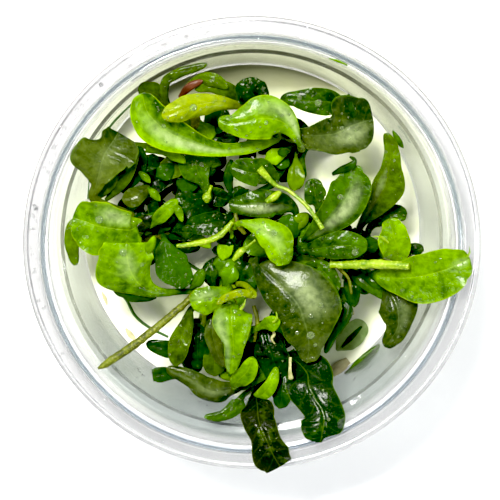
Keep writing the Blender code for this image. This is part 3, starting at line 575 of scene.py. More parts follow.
# Each leaf: four shades, partly its own tone and partly painted light and shade; a painted sheen patch; its
# curls; its stem and share along it; its rows.
GREEN_LEAVES = {
    "leaf_nw_hanging": ((0.6, 0.4, 0.35, 0.45), (), (-20, -20), "stem_northwest", 0.74, (
        (-12.6, 22.4, 36.6, 1), (-12.3, 19.4, 38.5, 4, 3.9), (-11.8, 16.6, 38.8, 3.5, 3.4),
        (-10.4, 13.9, 38.2, 1.3), (-9.4, 11, 38.2, 0.9), (-9.3, 9.8, 38, 0.4))),
    "leaf_ne_oval": ((0.3, 0.2, 0.35, 0.2), (), (-15, -15), "stem_northeast", 0.25, (
        (19.5, 26.5, 36, 0.7), (20.8, 29.2, 42, 0.8), (17.5, 31.4, 43.2, 2.9, 2.6),
        (12.8, 31.7, 43.6, 2.6, 2.9), (9, 32.2, 43.4, 1.6, 1.7), (6.1, 31.9, 43, 0.3))),
    "leaf_ne_low": ((0.3, 0.3, 0.3, 0.4), (), (15, 15), "stem_east", 0.34, (
        (25.5, 3.8, 31.5, 0.8), (28.5, 6.5, 34.5, 2.1), (31.4, 7.2, 35.4, 2.1, 1.7),
        (33.4, 6.1, 35.2, 0.3))),
    "leaf_c_upper": ((0.3, 0.25, 0.4, 0.3), (), (-20, 15), "stem_middle", 0.98, (
        (4.6, 13.8, 38.6, 0.9), (2.6, 15.7, 41, 2.6, 3.1), (-0.6, 16.3, 41.6, 2.8, 3),
        (-4.6, 17.6, 41, 0.4))),
    "leaf_c_sheen": ((0.25, 0.2, 0.3, 0.35), (0.3, 0.62, 0.16, 0.9), (-20, -20), "stem_lower", 1, (
        (9.6, 7.2, 37, 0.8), (7, 9.4, 38.6, 2.5, 2.3), (2.2, 9.4, 39.4, 3, 3.2),
        (-2.4, 9.2, 39, 2.3, 2.2), (-5, 9.8, 38.4, 0.4))),
    "leaf_c_side": ((0.4, 0.3, 0.5, 0.4), (), (-15, -15), "stem_lower", 0.5, (
        (13.6, -3.8, 39.2, 1), (15.4, -5.1, 40.4, 2.5, 2.3), (17.4, -7.4, 40.4, 1.9, 1.8),
        (18.6, -9.6, 40, 0.3))),
    "leaf_e_small": ((0.25, 0.2, 0.4, 0.35), (), (20, 20), "stem_east", 0.86, (
        (14.6, 8.2, 38, 0.9), (13.9, 10.8, 39, 2.3, 2.2), (13.4, 13.2, 39.2, 1.8, 2),
        (13.2, 15, 39, 0.4))),
    "leaf_e_streaked": ((0.3, 0.1, 0.5, 0.45), (-0.25, 0.5, 0.18, 0.75), (20, 25), "stem_east", 1, (
        (11.8, 1.6, 39.5, 1), (15.6, 4.8, 42, 2.6, 2.5), (19.6, 9.2, 44, 4, 4.3),
        (21.6, 13.3, 44.8, 4.2, 4.4), (21.9, 16.4, 45, 2.4, 2.2), (21.8, 17.8, 45, 0.4))),
    "leaf_e_oval": ((0.1, 0.05, 0.5, 0.45), (), (-20, -20), "stem_lower", 0.86, (
        (9.6, -0.7, 39, 0.8), (13.6, -0.4, 42.2, 1.9), (18.6, 0.4, 43.8, 3.2, 3.1),
        (22.6, 0.2, 44, 2.7, 2.6), (25, -0.4, 43.8, 0.5))),
    "leaf_s_lobed": ((-0.1, -0.15, 0, 0.1), (), (-22, -22), "stem_south", 0.46, (
        (8.4, -24, 37.5, 1.6), (11.8, -27, 42, 5.2, 5), (12.4, -30, 44.6, 5.3, 5.2),
        (13.6, -32.6, 45.6, 4.7, 4.6), (15.2, -35.2, 46.6, 4.4), (15.7, -37.4, 47.4, 4.8, 5),
        (15.5, -39.2, 47.8, 4.4, 5), (15.3, -40.4, 48, 2.6, 4.7), (15.1, -41.6, 48, 0.6, 3.8),
        (15, -42.4, 48, 0.15, 2.2))),
    "leaf_s_thin": ((0.3, 0.3, 0.45, 0.4), (), (-20, -20), "stem_south", 0.02, (
        (-1.6, -32.4, 37, 0.8), (-3, -34.4, 39.6, 1.7, 2), (-6.4, -36.6, 40.6, 1.3, 1.2),
        (-10.3, -36.9, 40.8, 0.2))),
}


def blade_share(half_width):
    """0 on a stalk, 1 on a blade, and between them where a leaf widens."""
    share = (half_width - STALK_HALF_WIDTH) / (BLADE_HALF_WIDTH - STALK_HALF_WIDTH)
    return min(max(share, 0), 1)


def fine_rows(rows, steps, roundness):
    """Leaf rows read finely, with the last stretch of the outline rounded towards the tip."""
    fine = smooth_rows(rows, steps)
    before, end = rows[-2], rows[-1]
    for i in range(steps):
        share = i / steps
        row = fine[i - steps - 1]
        for side in (3, 4):
            arc = max(before[side] * math.sqrt(1 - share * share), end[side])
            row[side] += roundness * (arc - row[side])
    return fine


class LeafForm:
    """A leaf's surface: places on it by s, 1 at the left margin and -1 at the right, and a row number."""

    def __init__(self, curls, rows, steps=LEAF_STEPS, wave=MARGIN_WAVE, roundness=TIP_ROUNDNESS):
        self.rows = fine_rows(rows, steps, roundness)
        self.centres = [Vector(row[:3]) for row in self.rows]
        self.ways = ways_along(self.centres)
        self.curls = [math.radians(curl) for curl in curls]
        self.wave = wave
        self.seed = rows[-1][0] * 1.7 + rows[-1][1] * 2.3

    def place(self, i, s, upper):
        """Place on the upper or under side, and the way that side faces."""
        row, centre, (left_way, up_way) = self.rows[i], self.centres[i], self.ways[i]
        along = i / (len(self.rows) - 1)
        side = 1 if s >= 0 else -1
        share = abs(s)
        bladed = blade_share((row[3] + row[4]) / 2)
        width = row[3] if side > 0 else row[4]
        ragged = noise.noise(Vector((along * 9, side * 5.3, self.seed)))
        width *= 1 + OUTLINE_WAVE * bladed * ragged
        curl = (self.curls[0] if side > 0 else self.curls[1]) * bladed
        bend = max(abs(curl), LEAST_BEND)
        reach = width / math.sin(min(bend, math.pi / 2))
        lean = math.copysign(bend * share, curl)
        facing = up_way * math.cos(lean) - left_way * (side * math.sin(lean))
        over = left_way * (side * reach * math.sin(bend * share))
        rise = up_way * math.copysign(reach * (1 - math.cos(bend * share)), curl)
        waving = math.sin(2 * math.pi * (WAVES * along + side * 0.2) + self.seed)
        lift = self.wave * bladed * waving * share ** 3 * min(width / 3, 1)
        from_rib = share * width
        quilted = math.cos(2 * math.pi * (VEINS * along - share * 1.1))
        lift += QUILT * bladed * quilted * share * (1 - share) * 4 * min(width / 3, 1)
        thickness = STALK_THICKNESS + bladed * (BLADE_THICKNESS - STALK_THICKNESS)
        rounding = math.sqrt(max(1 - share * share, 0))
        plate = 1 - MARGIN_THINNING * share * share
        half = thickness / 2 * (rounding + bladed * (plate - rounding))
        middle = centre + over + rise + facing * (lift - thickness / 2)
        groove = math.exp(-((from_rib / GROOVE_WIDTH) ** 2)) * min(width / 2, 1)
        if upper:
            return middle + facing * (half - GROOVE_DEPTH * groove), facing
        return middle - facing * (half + KEEL_DEPTH * bladed * groove), -facing


def leaf_mesh(work, form, sides=LEAF_SIDES, shades=(0.5, 0.5, 0.5, 0.5), painted_sheen=()):
    """Adds a leaf to a bmesh: a grid extruded once to give two sides, then laid on the leaf's form. Its shades
    are 0 for the deep and 1 for the light tone, at the base and at the tip, each left and right; they are
    partly the leaf's own tone and partly painted light and shade. Its painted sheen, a pale patch that stands
    in for a highlight, is given by its place across and along, its reach and its strength."""
    uv = work.loops.layers.uv.verify()
    shade_layer = work.verts.layers.float.new("shade")
    painted_sheen_layer = work.verts.layers.float.new("painted_sheen")
    last = len(form.rows) - 1
    made = bmesh.ops.create_grid(work, x_segments=sides, y_segments=last, size=0.5)
    faces = list({face for point in made["verts"] for face in point.link_faces})
    raised = bmesh.ops.extrude_face_region(work, geom=faces)["geom"]
    upper = {item for item in raised if isinstance(item, bmesh.types.BMVert)}
    points = upper | set(made["verts"])
    grid_places = {point: (2 * point.co.x, round((point.co.y + 0.5) * last)) for point in points}
    for face in {face for point in points for face in point.link_faces}:
        face.material_index = 0 if any(point in upper for point in face.verts) else 1
        for loop in face.loops:
            x, i = grid_places[loop.vert]
            loop[uv].uv = ((x + 1) / 2, i / last)
    base_left, base_right, tip_left, tip_right = shades
    for point, (x, i) in grid_places.items():
        s = math.copysign(min(abs(x), 1) ** MIDRIB_SPREAD, x)
        point.co = form.place(i, s, point in upper)[0]
        to_tip, to_left = i / last, (x + 1) / 2
        base = base_right + to_left * (base_left - base_right)
        tip = tip_right + to_left * (tip_left - tip_right)
        point[shade_layer] = base + to_tip * (tip - base)
        # The painted sheen, a patch that stands in for a highlight, is kept for the material.
        if painted_sheen:
            across, along, reach, strength = painted_sheen
            away = ((s - across) / PAINTED_SHEEN_WIDTH) ** 2 + ((to_tip - along) / reach) ** 2
            point[painted_sheen_layer] = strength * math.exp(-away)


def from_midrib(tree, flat):
    """How far a place is from the midrib, 0.5 at the margins."""
    return maths(tree, "ABSOLUTE", maths(tree, "SUBTRACT", part_of(tree, flat, "X"), 0.5))


def leaf_top(name, deep, light, rib, margin, roughness=0.28):
    """Upper skin of a leaf: between two tones by the leaf's shade, partly its own tone and partly painted light
    and shade, and a mottle, with a pale midrib and rim, fine grain and flecks, a painted sheen in places, and a
    wet, unevenly shining surface."""
    made, tree, shader = finish_material(name)
    place, flat = (node(tree, "TexCoord").outputs[kind] for kind in ("Object", "UV"))
    shade, painted_sheen = (node(tree, "Attribute", attribute_name=kind).outputs["Fac"] for kind in ("shade", "painted_sheen"))
    from_rib = from_midrib(tree, flat)
    patches = grains(tree, place, 260.0, 5.0, 0.62)
    grain, pucker = grains(tree, place, 1900.0, 3.0), grains(tree, place, 620.0, 2.0)
    level = maths(tree, "ADD", shade, span(tree, patches, 0.3, 0.7, -0.17, 0.17))
    level = maths(tree, "ADD", level, span(tree, pucker, 0.3, 0.7, -0.16, 0.16))
    slant = maths(tree, "MULTIPLY_ADD", part_of(tree, flat, "Y"), VEINS, 0.0)
    slant = maths(tree, "MULTIPLY_ADD", from_rib, VEIN_SLANT, slant)
    vein = maths(tree, "PINGPONG", maths(tree, "MULTIPLY_ADD", patches, 0.7, slant), 0.5)
    midrib = maths(tree, "MULTIPLY", span(tree, from_rib, 0.010, 0.040, 1.0, 0.0), 0.22)
    lines = maths(tree, "MULTIPLY_ADD", span(tree, vein, 0.0, 0.10, 1.0, 0.0), 0.08, midrib, clamp=True)
    skin = blend(tree, lines, ramp(tree, level, (0.05, deep), (0.95, light)), rib)
    skin = blend(tree, span(tree, from_rib, 0.475, 0.5, 0.0, 0.4), skin, margin)
    skin = blend(tree, span(tree, grain, 0.60, 0.78, 0.0, 0.2), skin, rib)
    # Painted sheen: a pale patch mixed into the leaf's colour where a highlight shows, broken by the pucker.
    sheen_share = maths(tree, "MULTIPLY", painted_sheen, span(tree, pucker, 0.35, 0.6, 0.55, 1.0), clamp=True)
    relief = maths(tree, "MULTIPLY_ADD", lines, -0.8, grain)
    relief = maths(tree, "MULTIPLY_ADD", pucker, 2.6, relief)
    feed(tree, shader, {
        "Base Color": blend(tree, sheen_share, skin, PAINTED_SHEEN_TONE),
        "Roughness": span(tree, patches, 0.3, 0.7, roughness + 0.12, roughness - 0.12),
        "Normal": bumped(tree, relief, 0.8, 0.18), "Coat Normal": bumped(tree, relief, 0.22, 0.12),
        "Specular IOR Level": 0.05, "Coat Weight": 0.10, "Coat Roughness": 0.06})
    return made


def leaf_under(name, skin, vein_tone):
    """Underside of a leaf: paler and duller, with a raised midrib and fine grain."""
    made, tree, shader = finish_material(name)
    place, flat = (node(tree, "TexCoord").outputs[kind] for kind in ("Object", "UV"))
    grain = grains(tree, place, 700.0, 4.0)
    midrib = span(tree, from_midrib(tree, flat), 0.02, 0.07, 1.0, 0.0)
    lines = maths(tree, "ADD", midrib, span(tree, grain, 0.3, 0.7, 0.0, 0.45), clamp=True)
    feed(tree, shader, {
        "Base Color": blend(tree, lines, skin, vein_tone), "Normal": bumped(tree, grain, 0.35, 0.15),
        "Roughness": 0.42, "Specular IOR Level": 0.25})
    return made


def blade_rows(rows):
    """The real rows of a blade: place, and half-widths left and right, given once where they are equal."""
    return [(*seen_at(*row[:3]), row[3], row[-1]) for row in rows]


def leaf_on_stem(stem, share, rows):
    """The real rows of a leaf whose stalk starts beside a place on a stem."""
    placed = blade_rows(rows)
    rows_of_stem = stem_rows(stem)
    joint = smooth_row(rows_of_stem, share * (len(rows_of_stem) - 1))
    away = (Vector(placed[0][:3]) - Vector(joint[:3])).normalized()
    start = Vector(joint[:3]) + away * joint[3]
    return [(*start, STALK_START, STALK_START), *placed]


def make_leaves(leaves, top, under):
    """Makes the leaves of one tone, each in place of its solid."""
    for name, (shades, painted_sheen, curls, stem, share, rows) in leaves.items():
        form = LeafForm(curls, leaf_on_stem(stem, share, rows))
        leaf_forms[name] = form
        work = bmesh.new()
        leaf_mesh(work, form, shades=shades, painted_sheen=painted_sheen)
        blade = put_in_scene(name.replace("leaf", "blade"), work, [top, under])
        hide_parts(name)
        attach(blade, "root")


make_leaves(
    GREEN_LEAVES,
    leaf_top(
        "grown_leaf", (0.00304, 0.0137, 0.000304), (0.057, 0.137, 0.00228), (0.114, 0.198, 0.0228),
        (0.0912, 0.167, 0.00456)),
    leaf_under("grown_leaf_under", (0.038, 0.076, 0.0114), (0.0912, 0.144, 0.0304)))

# The young leaves: full size but still yellow-green and shining, the brightest of the clump.
BRIGHT_LEAVES = {
    "leaf_nw_boat": ((0.8, 0.45, 0.7, 0), (0.25, 0.6, 0.2, 0.8), (60, 60), "stem_northeast", 0.74, (
        (5, 23.3, 39, 0.8), (0, 21.9, 41, 1.3, 1.2), (-6, 21.2, 43, 1.3),
        (-12, 22.4, 44, 2.1, 2.2), (-18, 25, 44.6, 3.7, 3.6), (-22.4, 29, 45, 3.6, 3.4),
        (-23.8, 33.4, 45.2, 0.4))),
    "leaf_n_large": ((0.5, 0.4, 0.5, 0.4), (-0.5, 0.42, 0.2, 0.6), (-22, -25), "stem_northeast", 0.45, (
        (11, 21.5, 40, 0.8), (10.2, 22.8, 44.6, 0.8), (8.4, 25.6, 45.4, 1.8, 2.2),
        (6, 27.5, 46.2, 4.1, 4.3), (2.5, 28, 46.9, 4.8, 4.9), (-1, 27.4, 47, 4.1, 3.9),
        (-4.6, 27, 46.8, 2.4, 1.8), (-7.3, 27.8, 46.2, 0.4))),
    "leaf_w_broad": ((0.15, 0.75, 0.4, 0.25), (-0.5, 0.5, 0.16, 0.7), (10, 35), "stem_west", 0.3, (
        (-24.4, 4.6, 37.6, 1.3, 1.2), (-26.4, 3.8, 40.8, 4.2, 3.6), (-30, 4.1, 42.2, 5.6, 4.8),
        (-33.5, 4.7, 43, 6.4, 5.3), (-36.6, 5.8, 43, 4.8, 4.6), (-38.9, 6.5, 43, 0.8, 1))),
    "leaf_w_folded": ((0.05, 0.3, 0.5, 0.55), (0.0, 0.75, 0.12, 0.35), (-30, -30), "stem_southwest", 0.72, (
        (-13.8, -9.6, 36.2, 0.7), (-19.6, -9.8, 39.4, 1.2, 1.1), (-23.6, -8.7, 41.8, 2.8, 3),
        (-26.2, -5.4, 43.8, 7.8, 5.1), (-27.2, -1.6, 45, 6.2, 5.5), (-27.3, 1, 45, 5))),
    "leaf_c_bright": ((0.7, 0.6, 0.35, 0.75), (0.1, 0.6, 0.2, 0.45), (-35, -35), "stem_middle", 0.75, (
        (-4, 4.6, 39.5, 0.7), (-2, 5.1, 43.5, 0.9), (1.6, 3.9, 46.6, 2.6, 2.2),
        (4.7, 1.5, 47.4, 4.2, 3), (6.2, -1.4, 47, 3.1, 2.8), (6.8, -3.9, 46.2, 1.6))),
    "leaf_e_cupped": ((0.6, 0.85, 0.5, 0.6), (), (50, 45), "stem_east", 0.16, (
        (31, -3.8, 38.5, 0.8), (31.8, -1.4, 42, 3, 2), (31, 2, 43.6, 3.5, 3.1),
        (30.3, 4.9, 44, 1.9, 2), (30, 6.2, 44, 0.3))),
    "leaf_e_large": ((0.5, 0.2, 0.5, 0.4), (0.0, 0.86, 0.1, 0.35), (25, 25), "stem_east", 0.28, (
        (26, -5.6, 39.6, 0.9), (30.5, -6.6, 42.6, 2.2, 3), (36, -6.4, 45.6, 4.6, 5.6),
        (41.5, -5, 47.3, 4.9, 5.7), (45.2, -3.4, 47.9, 3.3, 3.7), (47.4, -2.5, 47.9, 0.6))),
    "leaf_s_sheen": ((0.45, 0.4, 0.5, 0.4), (-0.3, 0.7, 0.2, 0.5), (-25, -25), "stem_southwest", 1, (
        (-4.8, -9, 40.2, 1), (-6.4, -9.9, 41.2, 1.8, 1.6), (-9, -11, 41.8, 3.2, 2.7),
        (-11.6, -11.6, 42, 3.2, 2.6), (-13.4, -12, 41.6, 0.9))),
    "leaf_s_pointed": ((0.55, 0.45, 0.45, 0.25), (-0.6, 0.72, 0.2, 0.5), (-35, -35), "stem_southwest", 0.5, (
        (-5.6, -15.2, 36, 0.7), (-4.4, -12, 41.6, 1), (-4.5, -13.8, 44.8, 4.3, 4.2),
        (-4.3, -17.6, 46, 4.4, 3.8), (-4, -22.2, 45.4, 2.3, 2.2), (-4.6, -27.6, 43, 0.2))),
}
make_leaves(
    BRIGHT_LEAVES,
    leaf_top(
        "young_leaf", (0.0076, 0.0342, 0.00038), (0.141, 0.274, 0.00228), (0.213, 0.319, 0.0228),
        (0.213, 0.304, 0.00456)),
    leaf_under("young_leaf_under", (0.0988, 0.152, 0.0152), (0.182, 0.228, 0.0608)))

# The youngest leaves: thin lime strips that are still unrolling.
LIME_LEAVES = {
    "leaf_nw_crescent": ((0.45, 0.5, 0.35, 0.75), (), (-50, -50), "stem_northeast", 1, (
        (-1.5, 30.2, 39.5, 0.7), (-5, 31, 44.5, 1.5), (-9, 31.4, 47, 2.4, 2.1),
        (-14, 30.3, 48.6, 2.8, 2.7), (-17.6, 28.9, 49, 1.9, 2.2), (-19.6, 28.6, 48.6, 0.3))),
    "leaf_s_strip": ((0.4, 0.4, 0.5, 0.5), (), (-60, -60), "stem_southwest", 1, (
        (-1.6, -8.4, 41.5, 0.7), (0.2, -10.2, 46.4, 0.7), (-2.6, -10, 48, 1),
        (-5.6, -11, 47.6, 0.9), (-7.6, -12.4, 46.8, 0.3))),
}
make_leaves(
    LIME_LEAVES,
    leaf_top(
        "lime_leaf", (0.0456, 0.0836, 0.00076), (0.182, 0.228, 0.00608), (0.258, 0.319, 0.0304),
        (0.228, 0.289, 0.0076)),
    leaf_under("lime_leaf_under", (0.152, 0.198, 0.0152), (0.228, 0.266, 0.0456)))

# The shaded leaves: low in the clump, nearly black-green and wet.
DARK_LEAVES = {
    "leaf_nw_dark": ((0.4, 0.3, 0.6, 0.35), (), (25, 25), "stem_northwest", 0.5, (
        (-16.6, 17.6, 35, 1), (-20, 17.2, 36.6, 2.6), (-23, 17.7, 36.8, 2.5),
        (-25.2, 18.6, 36.4, 0.4))),
    "leaf_n_round": ((0.25, 0.2, 0.35, 0.2), (), (-20, -20), "stem_northeast", 0.86, (
        (2, 29, 39.6, 0.9), (1, 32, 41.6, 3.2), (-0.5, 34.6, 42.2, 3.2, 3.4),
        (-1.2, 36.8, 42, 0.9))),
    "leaf_w_rimmed": ((1.1, 1.1, 1.1, 0.5), (), (35, 30), "stem_west", 0.9, (
        (-19, 2, 36.5, 0.8), (-18.6, -1, 38, 2.4), (-17.2, -4.2, 38.8, 3.9, 3.6),
        (-15, -6.8, 39, 2.4), (-13.6, -8.2, 39, 0.3))),
    "leaf_c_dark": ((0.3, 0.3, 0.5, 0.4), (), (20, 20), "stem_middle", 0.5, (
        (-6.6, 4.8, 33.2, 0.9), (-10.4, 8, 35.2, 3.5), (-14, 9.8, 35.6, 2.4),
        (-16.4, 11, 35.2, 0.3))),
    "leaf_c_deep": ((0.2, 0.2, 0.3, 0.3), (0.2, 0.6, 0.15, 0.25), (-20, -20), "stem_middle", 0.1, (
        (-1, -3.2, 31.5, 0.9), (-4.4, -4.6, 33.6, 3.6), (-8, -5.8, 34, 3.2, 3.4),
        (-10.6, -7, 33.6, 0.5))),
    "leaf_c_ring": ((0.2, 0.3, 0.5, 0.5), (), (30, 30), "stem_middle", 0.85, (
        (-5.2, 6.4, 37, 0.9), (-7.6, 5.6, 38, 2.3), (-10.8, 5, 38.2, 2.2),
        (-14.4, 4.8, 37.6, 0.3))),
    "leaf_e_behind": ((0.3, 0.3, 0.5, 0.4), (), (10, 10), "stem_east", 0.03, (
        (33.6, -2, 35.5, 0.7), (35, -0.8, 38.4, 1.7, 1.5), (37.3, -0.3, 38.8, 0.5))),
    "leaf_s_shaded": ((0.2, 0.15, 0.35, 0.3), (), (-20, -20), "stem_south", 1, (
        (2.2, -17, 38, 1), (3.4, -21, 40, 3.1), (5, -25.4, 40.4, 3.6, 3.4),
        (7, -29.4, 39.4, 0.5))),
    "leaf_s_blue": ((0.2, 0.2, 0.35, 0.3), (), (-20, -20), "stem_southwest", 0.3, (
        (-13, -16.4, 33, 0.9), (-11.8, -18.8, 36.4, 2.2), (-11.8, -22.6, 37, 2.6, 2.5),
        (-11.6, -26.4, 36.4, 0.4))),
}
make_leaves(
    DARK_LEAVES,
    leaf_top(
        "shaded_leaf", (0.00114, 0.00532, 0.000228), (0.0213, 0.0646, 0.00152), (0.0266, 0.076, 0.00456),
        (0.0304, 0.0836, 0.00228)),
    leaf_under("shaded_leaf_under", (0.0152, 0.0342, 0.00532), (0.038, 0.0684, 0.0152)))

# The older leaves: olive, with the margins going yellow-brown.
OLIVE_LEAVES = {
    "leaf_nw_back": ((0.3, 0.4, 0.45, 0.35), (), (20, 20), "stem_northwest", 0.66, (
        (-18.6, 30, 34.5, 0.8), (-20.3, 32.9, 36.6, 2.2), (-22.8, 34.1, 37.6, 1.8),
        (-24.7, 34.4, 37.8, 0.3))),
    "leaf_nw_wall": ((0.35, 0.3, 0.4, 0.35), (), (-20, -20), "stem_northwest", 0.8, (
        (-18.2, 30.8, 37.2, 0.8), (-18.8, 35.6, 40.5, 1.1), (-16, 37.9, 41.5, 1, 1.2),
        (-12.5, 39, 41.5, 0.8, 1), (-9.7, 39.8, 41.5, 0.2))),
    "leaf_nw_brown": ((0.3, 0.35, 0.5, 0.45), (), (-40, -40), "stem_northwest", 1, (
        (-14.8, 33.4, 38.6, 0.7), (-11.5, 36.3, 41.4, 1.3), (-8.3, 36.3, 42.6, 1.6),
        (-5.2, 34.6, 42, 0.4))),
    "leaf_ne_olive": ((0.5, 0.3, 0.5, 0.55), (0.3, 0.45, 0.16, 0.35), (25, 25), "stem_east", 0.42, (
        (23.5, 4.2, 34, 0.8), (26.6, 9, 38, 1.7, 2.6), (28.8, 13.5, 40, 2.5, 4.4),
        (29.8, 17.8, 41, 1.6, 2.6), (30.1, 21.2, 41, 1.2, 1.8), (29, 24.8, 40.8, 0.3))),
    "leaf_w_narrow": ((0.6, 0.5, 0.5, 0.6), (), (-30, -30), "stem_northwest", 0.58, (
        (-22.5, 22, 34.5, 0.7), (-26.6, 21.4, 37, 1.2), (-28.6, 17.2, 38.6, 1.4, 1.5),
        (-31.3, 13, 39, 1.2, 1.3), (-33.9, 10.6, 37.8, 0.3))),
    "leaf_w_edge": ((0.65, 0.65, 0.55, 0.6), (), (20, 20), "stem_west", 0.25, (
        (-33, 5, 33, 0.7), (-38.4, 5.2, 38.4, 1.1), (-39.2, 1.6, 38.6, 1.7, 1.5),
        (-38.8, -1.6, 38.2, 1.2), (-38.3, -3.9, 37.8, 0.5))),
    "leaf_s_outer": ((-0.1, -0.15, 0.1, 0), (), (-25, -25), "stem_south", 0.3, (
        (1.2, -31.4, 39.5, 1), (1.2, -34.4, 44, 3.6), (1.6, -38, 46.8, 3.5, 3.7),
        (3.1, -41.6, 48.2, 3.2, 3.5), (4.6, -45, 48.8, 3.6, 5), (6.2, -47.6, 48.4, 3.2, 3.4))),
    "leaf_s_long": ((0.35, 0.3, 0.35, 0.45), (), (20, 20), "stem_southwest", 0.5, (
        (-12.8, -13.4, 36, 0.8), (-14.2, -16.6, 39, 1.6, 1.4), (-15.8, -21, 41, 2.3, 2.2),
        (-16.6, -25.8, 40.6, 0.5))),
}
make_leaves(
    OLIVE_LEAVES,
    leaf_top(
        "older_leaf", (0.00456, 0.00836, 0.000304), (0.076, 0.144, 0.00076), (0.0836, 0.129, 0.00608),
        (0.114, 0.167, 0.00456)),
    leaf_under("older_leaf_under", (0.0456, 0.0684, 0.00912), (0.0912, 0.122, 0.0228)))

# The silvery leaves: grey-green from the side that shows, with a broad dull sheen, partly painted on and partly
# their own duller gloss.
GREY_LEAVES = {
    "leaf_ne_grey": ((0.4, 0.5, -0.05, 0.25), (-0.3, 0.66, 0.18, 0.65), (35, -25), "stem_northeast", 0.6, (
        (8.6, 24.9, 40.6, 0.8), (12.2, 24.4, 42.4, 1.6, 2.3), (17, 24.5, 44.6, 3.5, 4.6),
        (19.4, 25.3, 45.2, 4.2, 5.6), (21.4, 26.3, 45.4, 7, 6), (24.3, 27.3, 45, 5.4),
        (26.4, 27.8, 44.6, 0.9))),
    "leaf_w_lobed": ((0.75, 0.7, 0.15, 0.3), (-0.1, 0.6, 0.2, 0.12), (25, 25), "stem_west", 0.85, (
        (-26, 7, 34.5, 0.7), (-34, 10.3, 40.2, 1), (-33.8, 13.6, 41.6, 1.3, 1.6),
        (-33.1, 16.2, 42.4, 5, 3.2), (-32.6, 18.4, 43, 6.8, 4.8), (-32, 20.2, 43, 6.2, 5.6),
        (-31.4, 21.2, 43, 4.6, 6.2), (-30.8, 22.2, 43, 2.6, 6.4), (-29.8, 23.6, 43, 3, 6.2),
        (-29, 25, 43, 2.4, 4.6))),
    "leaf_c_largest": ((0.3, 0, 0.35, 0.25), (0.35, 0.42, 0.13, 0.55), (-18, -18), "stem_lower", 0.68, (
        (1.4, -3.4, 41, 1.6), (5.6, -7.6, 43.6, 6.2, 4.8), (9.8, -12.2, 45.2, 8.6, 5.3),
        (11.3, -16, 45.4, 8.8, 5.4), (12.2, -19.2, 45, 5.4, 5.2), (12.4, -22.4, 44, 2.9, 2.8),
        (11.9, -25.1, 43, 0.3))),
    "leaf_e_lower": ((0.3, 0.3, 0.2, 0.1), (0.3, 0.5, 0.2, 0.2), (-25, -25), "stem_east", 0.22, (
        (28.8, -8, 37.5, 0.9), (31.4, -12.4, 40.6, 4.6, 4.4), (31.8, -17, 40.8, 3),
        (30, -20.2, 40.2, 2, 1.8), (28.8, -21.6, 39.8, 0.4))),
    "leaf_s_underside": ((0.1, 0.25, 0.25, 0.3), (0.1, 0.6, 0.2, 0.2), (-40, -40), "stem_south", 0.55, (
        (-1.8, -29.9, 35, 0.8), (-5, -31, 38.4, 2.2, 2), (-9, -31.2, 39.6, 2.9, 2.8),
        (-13, -28.9, 39.8, 2, 2.2), (-18.6, -26.3, 39, 0.3))),
}
make_leaves(
    GREY_LEAVES,
    leaf_top(
        "silvery_leaf", (0.00532, 0.0167, 0.00076), (0.076, 0.103, 0.0152), (0.114, 0.16, 0.0456),
        (0.0608, 0.129, 0.00456), 
             roughness=0.32),
    leaf_under("silvery_leaf_under", (0.0532, 0.076, 0.0304), (0.114, 0.152, 0.0684)))

# The shoots: young stalks, bare and lime, each ending in a club that will open into leaves.
SHOOTS = {
    "shoot_middle": (
        (0.8, 1.6, 43.6, 0.3), (-1, 0.2, 44.2, 0.3), (-2.4, -0.9, 44.6, 0.8),
        (-4.1, -2.8, 44.8, 0.35)),
    "shoot_long": (
        (1.6, 17.2, 43.6, 0.9), (5, 13.7, 44, 0.45), (8, 12.3, 44.6, 0.4), (12, 8.9, 46, 0.45),
        (15.4, 4.1, 47, 0.5)),
    "shoot_thick": (
        (6.2, 12.2, 42.3, 0.5), (4.8, 11, 42.5, 0.8), (3.1, 9.9, 42.6, 0.5)),
}
for shoot_name, shoot_places in SHOOTS.items():
    shoot_work = bmesh.new()
    shoot_rows = [(*seen_at(*place[:3]), place[3]) for place in shoot_places]
    loft(shoot_work, tube_rings(smooth_rows(shoot_rows, STEM_STEPS), STEM_SIDES, lumpy=LUMP_HEIGHT / 2))
    shoot = put_in_scene(shoot_name.replace("shoot", "club"), shoot_work, [young_rind])
    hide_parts(shoot_name)
    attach(shoot, "root")

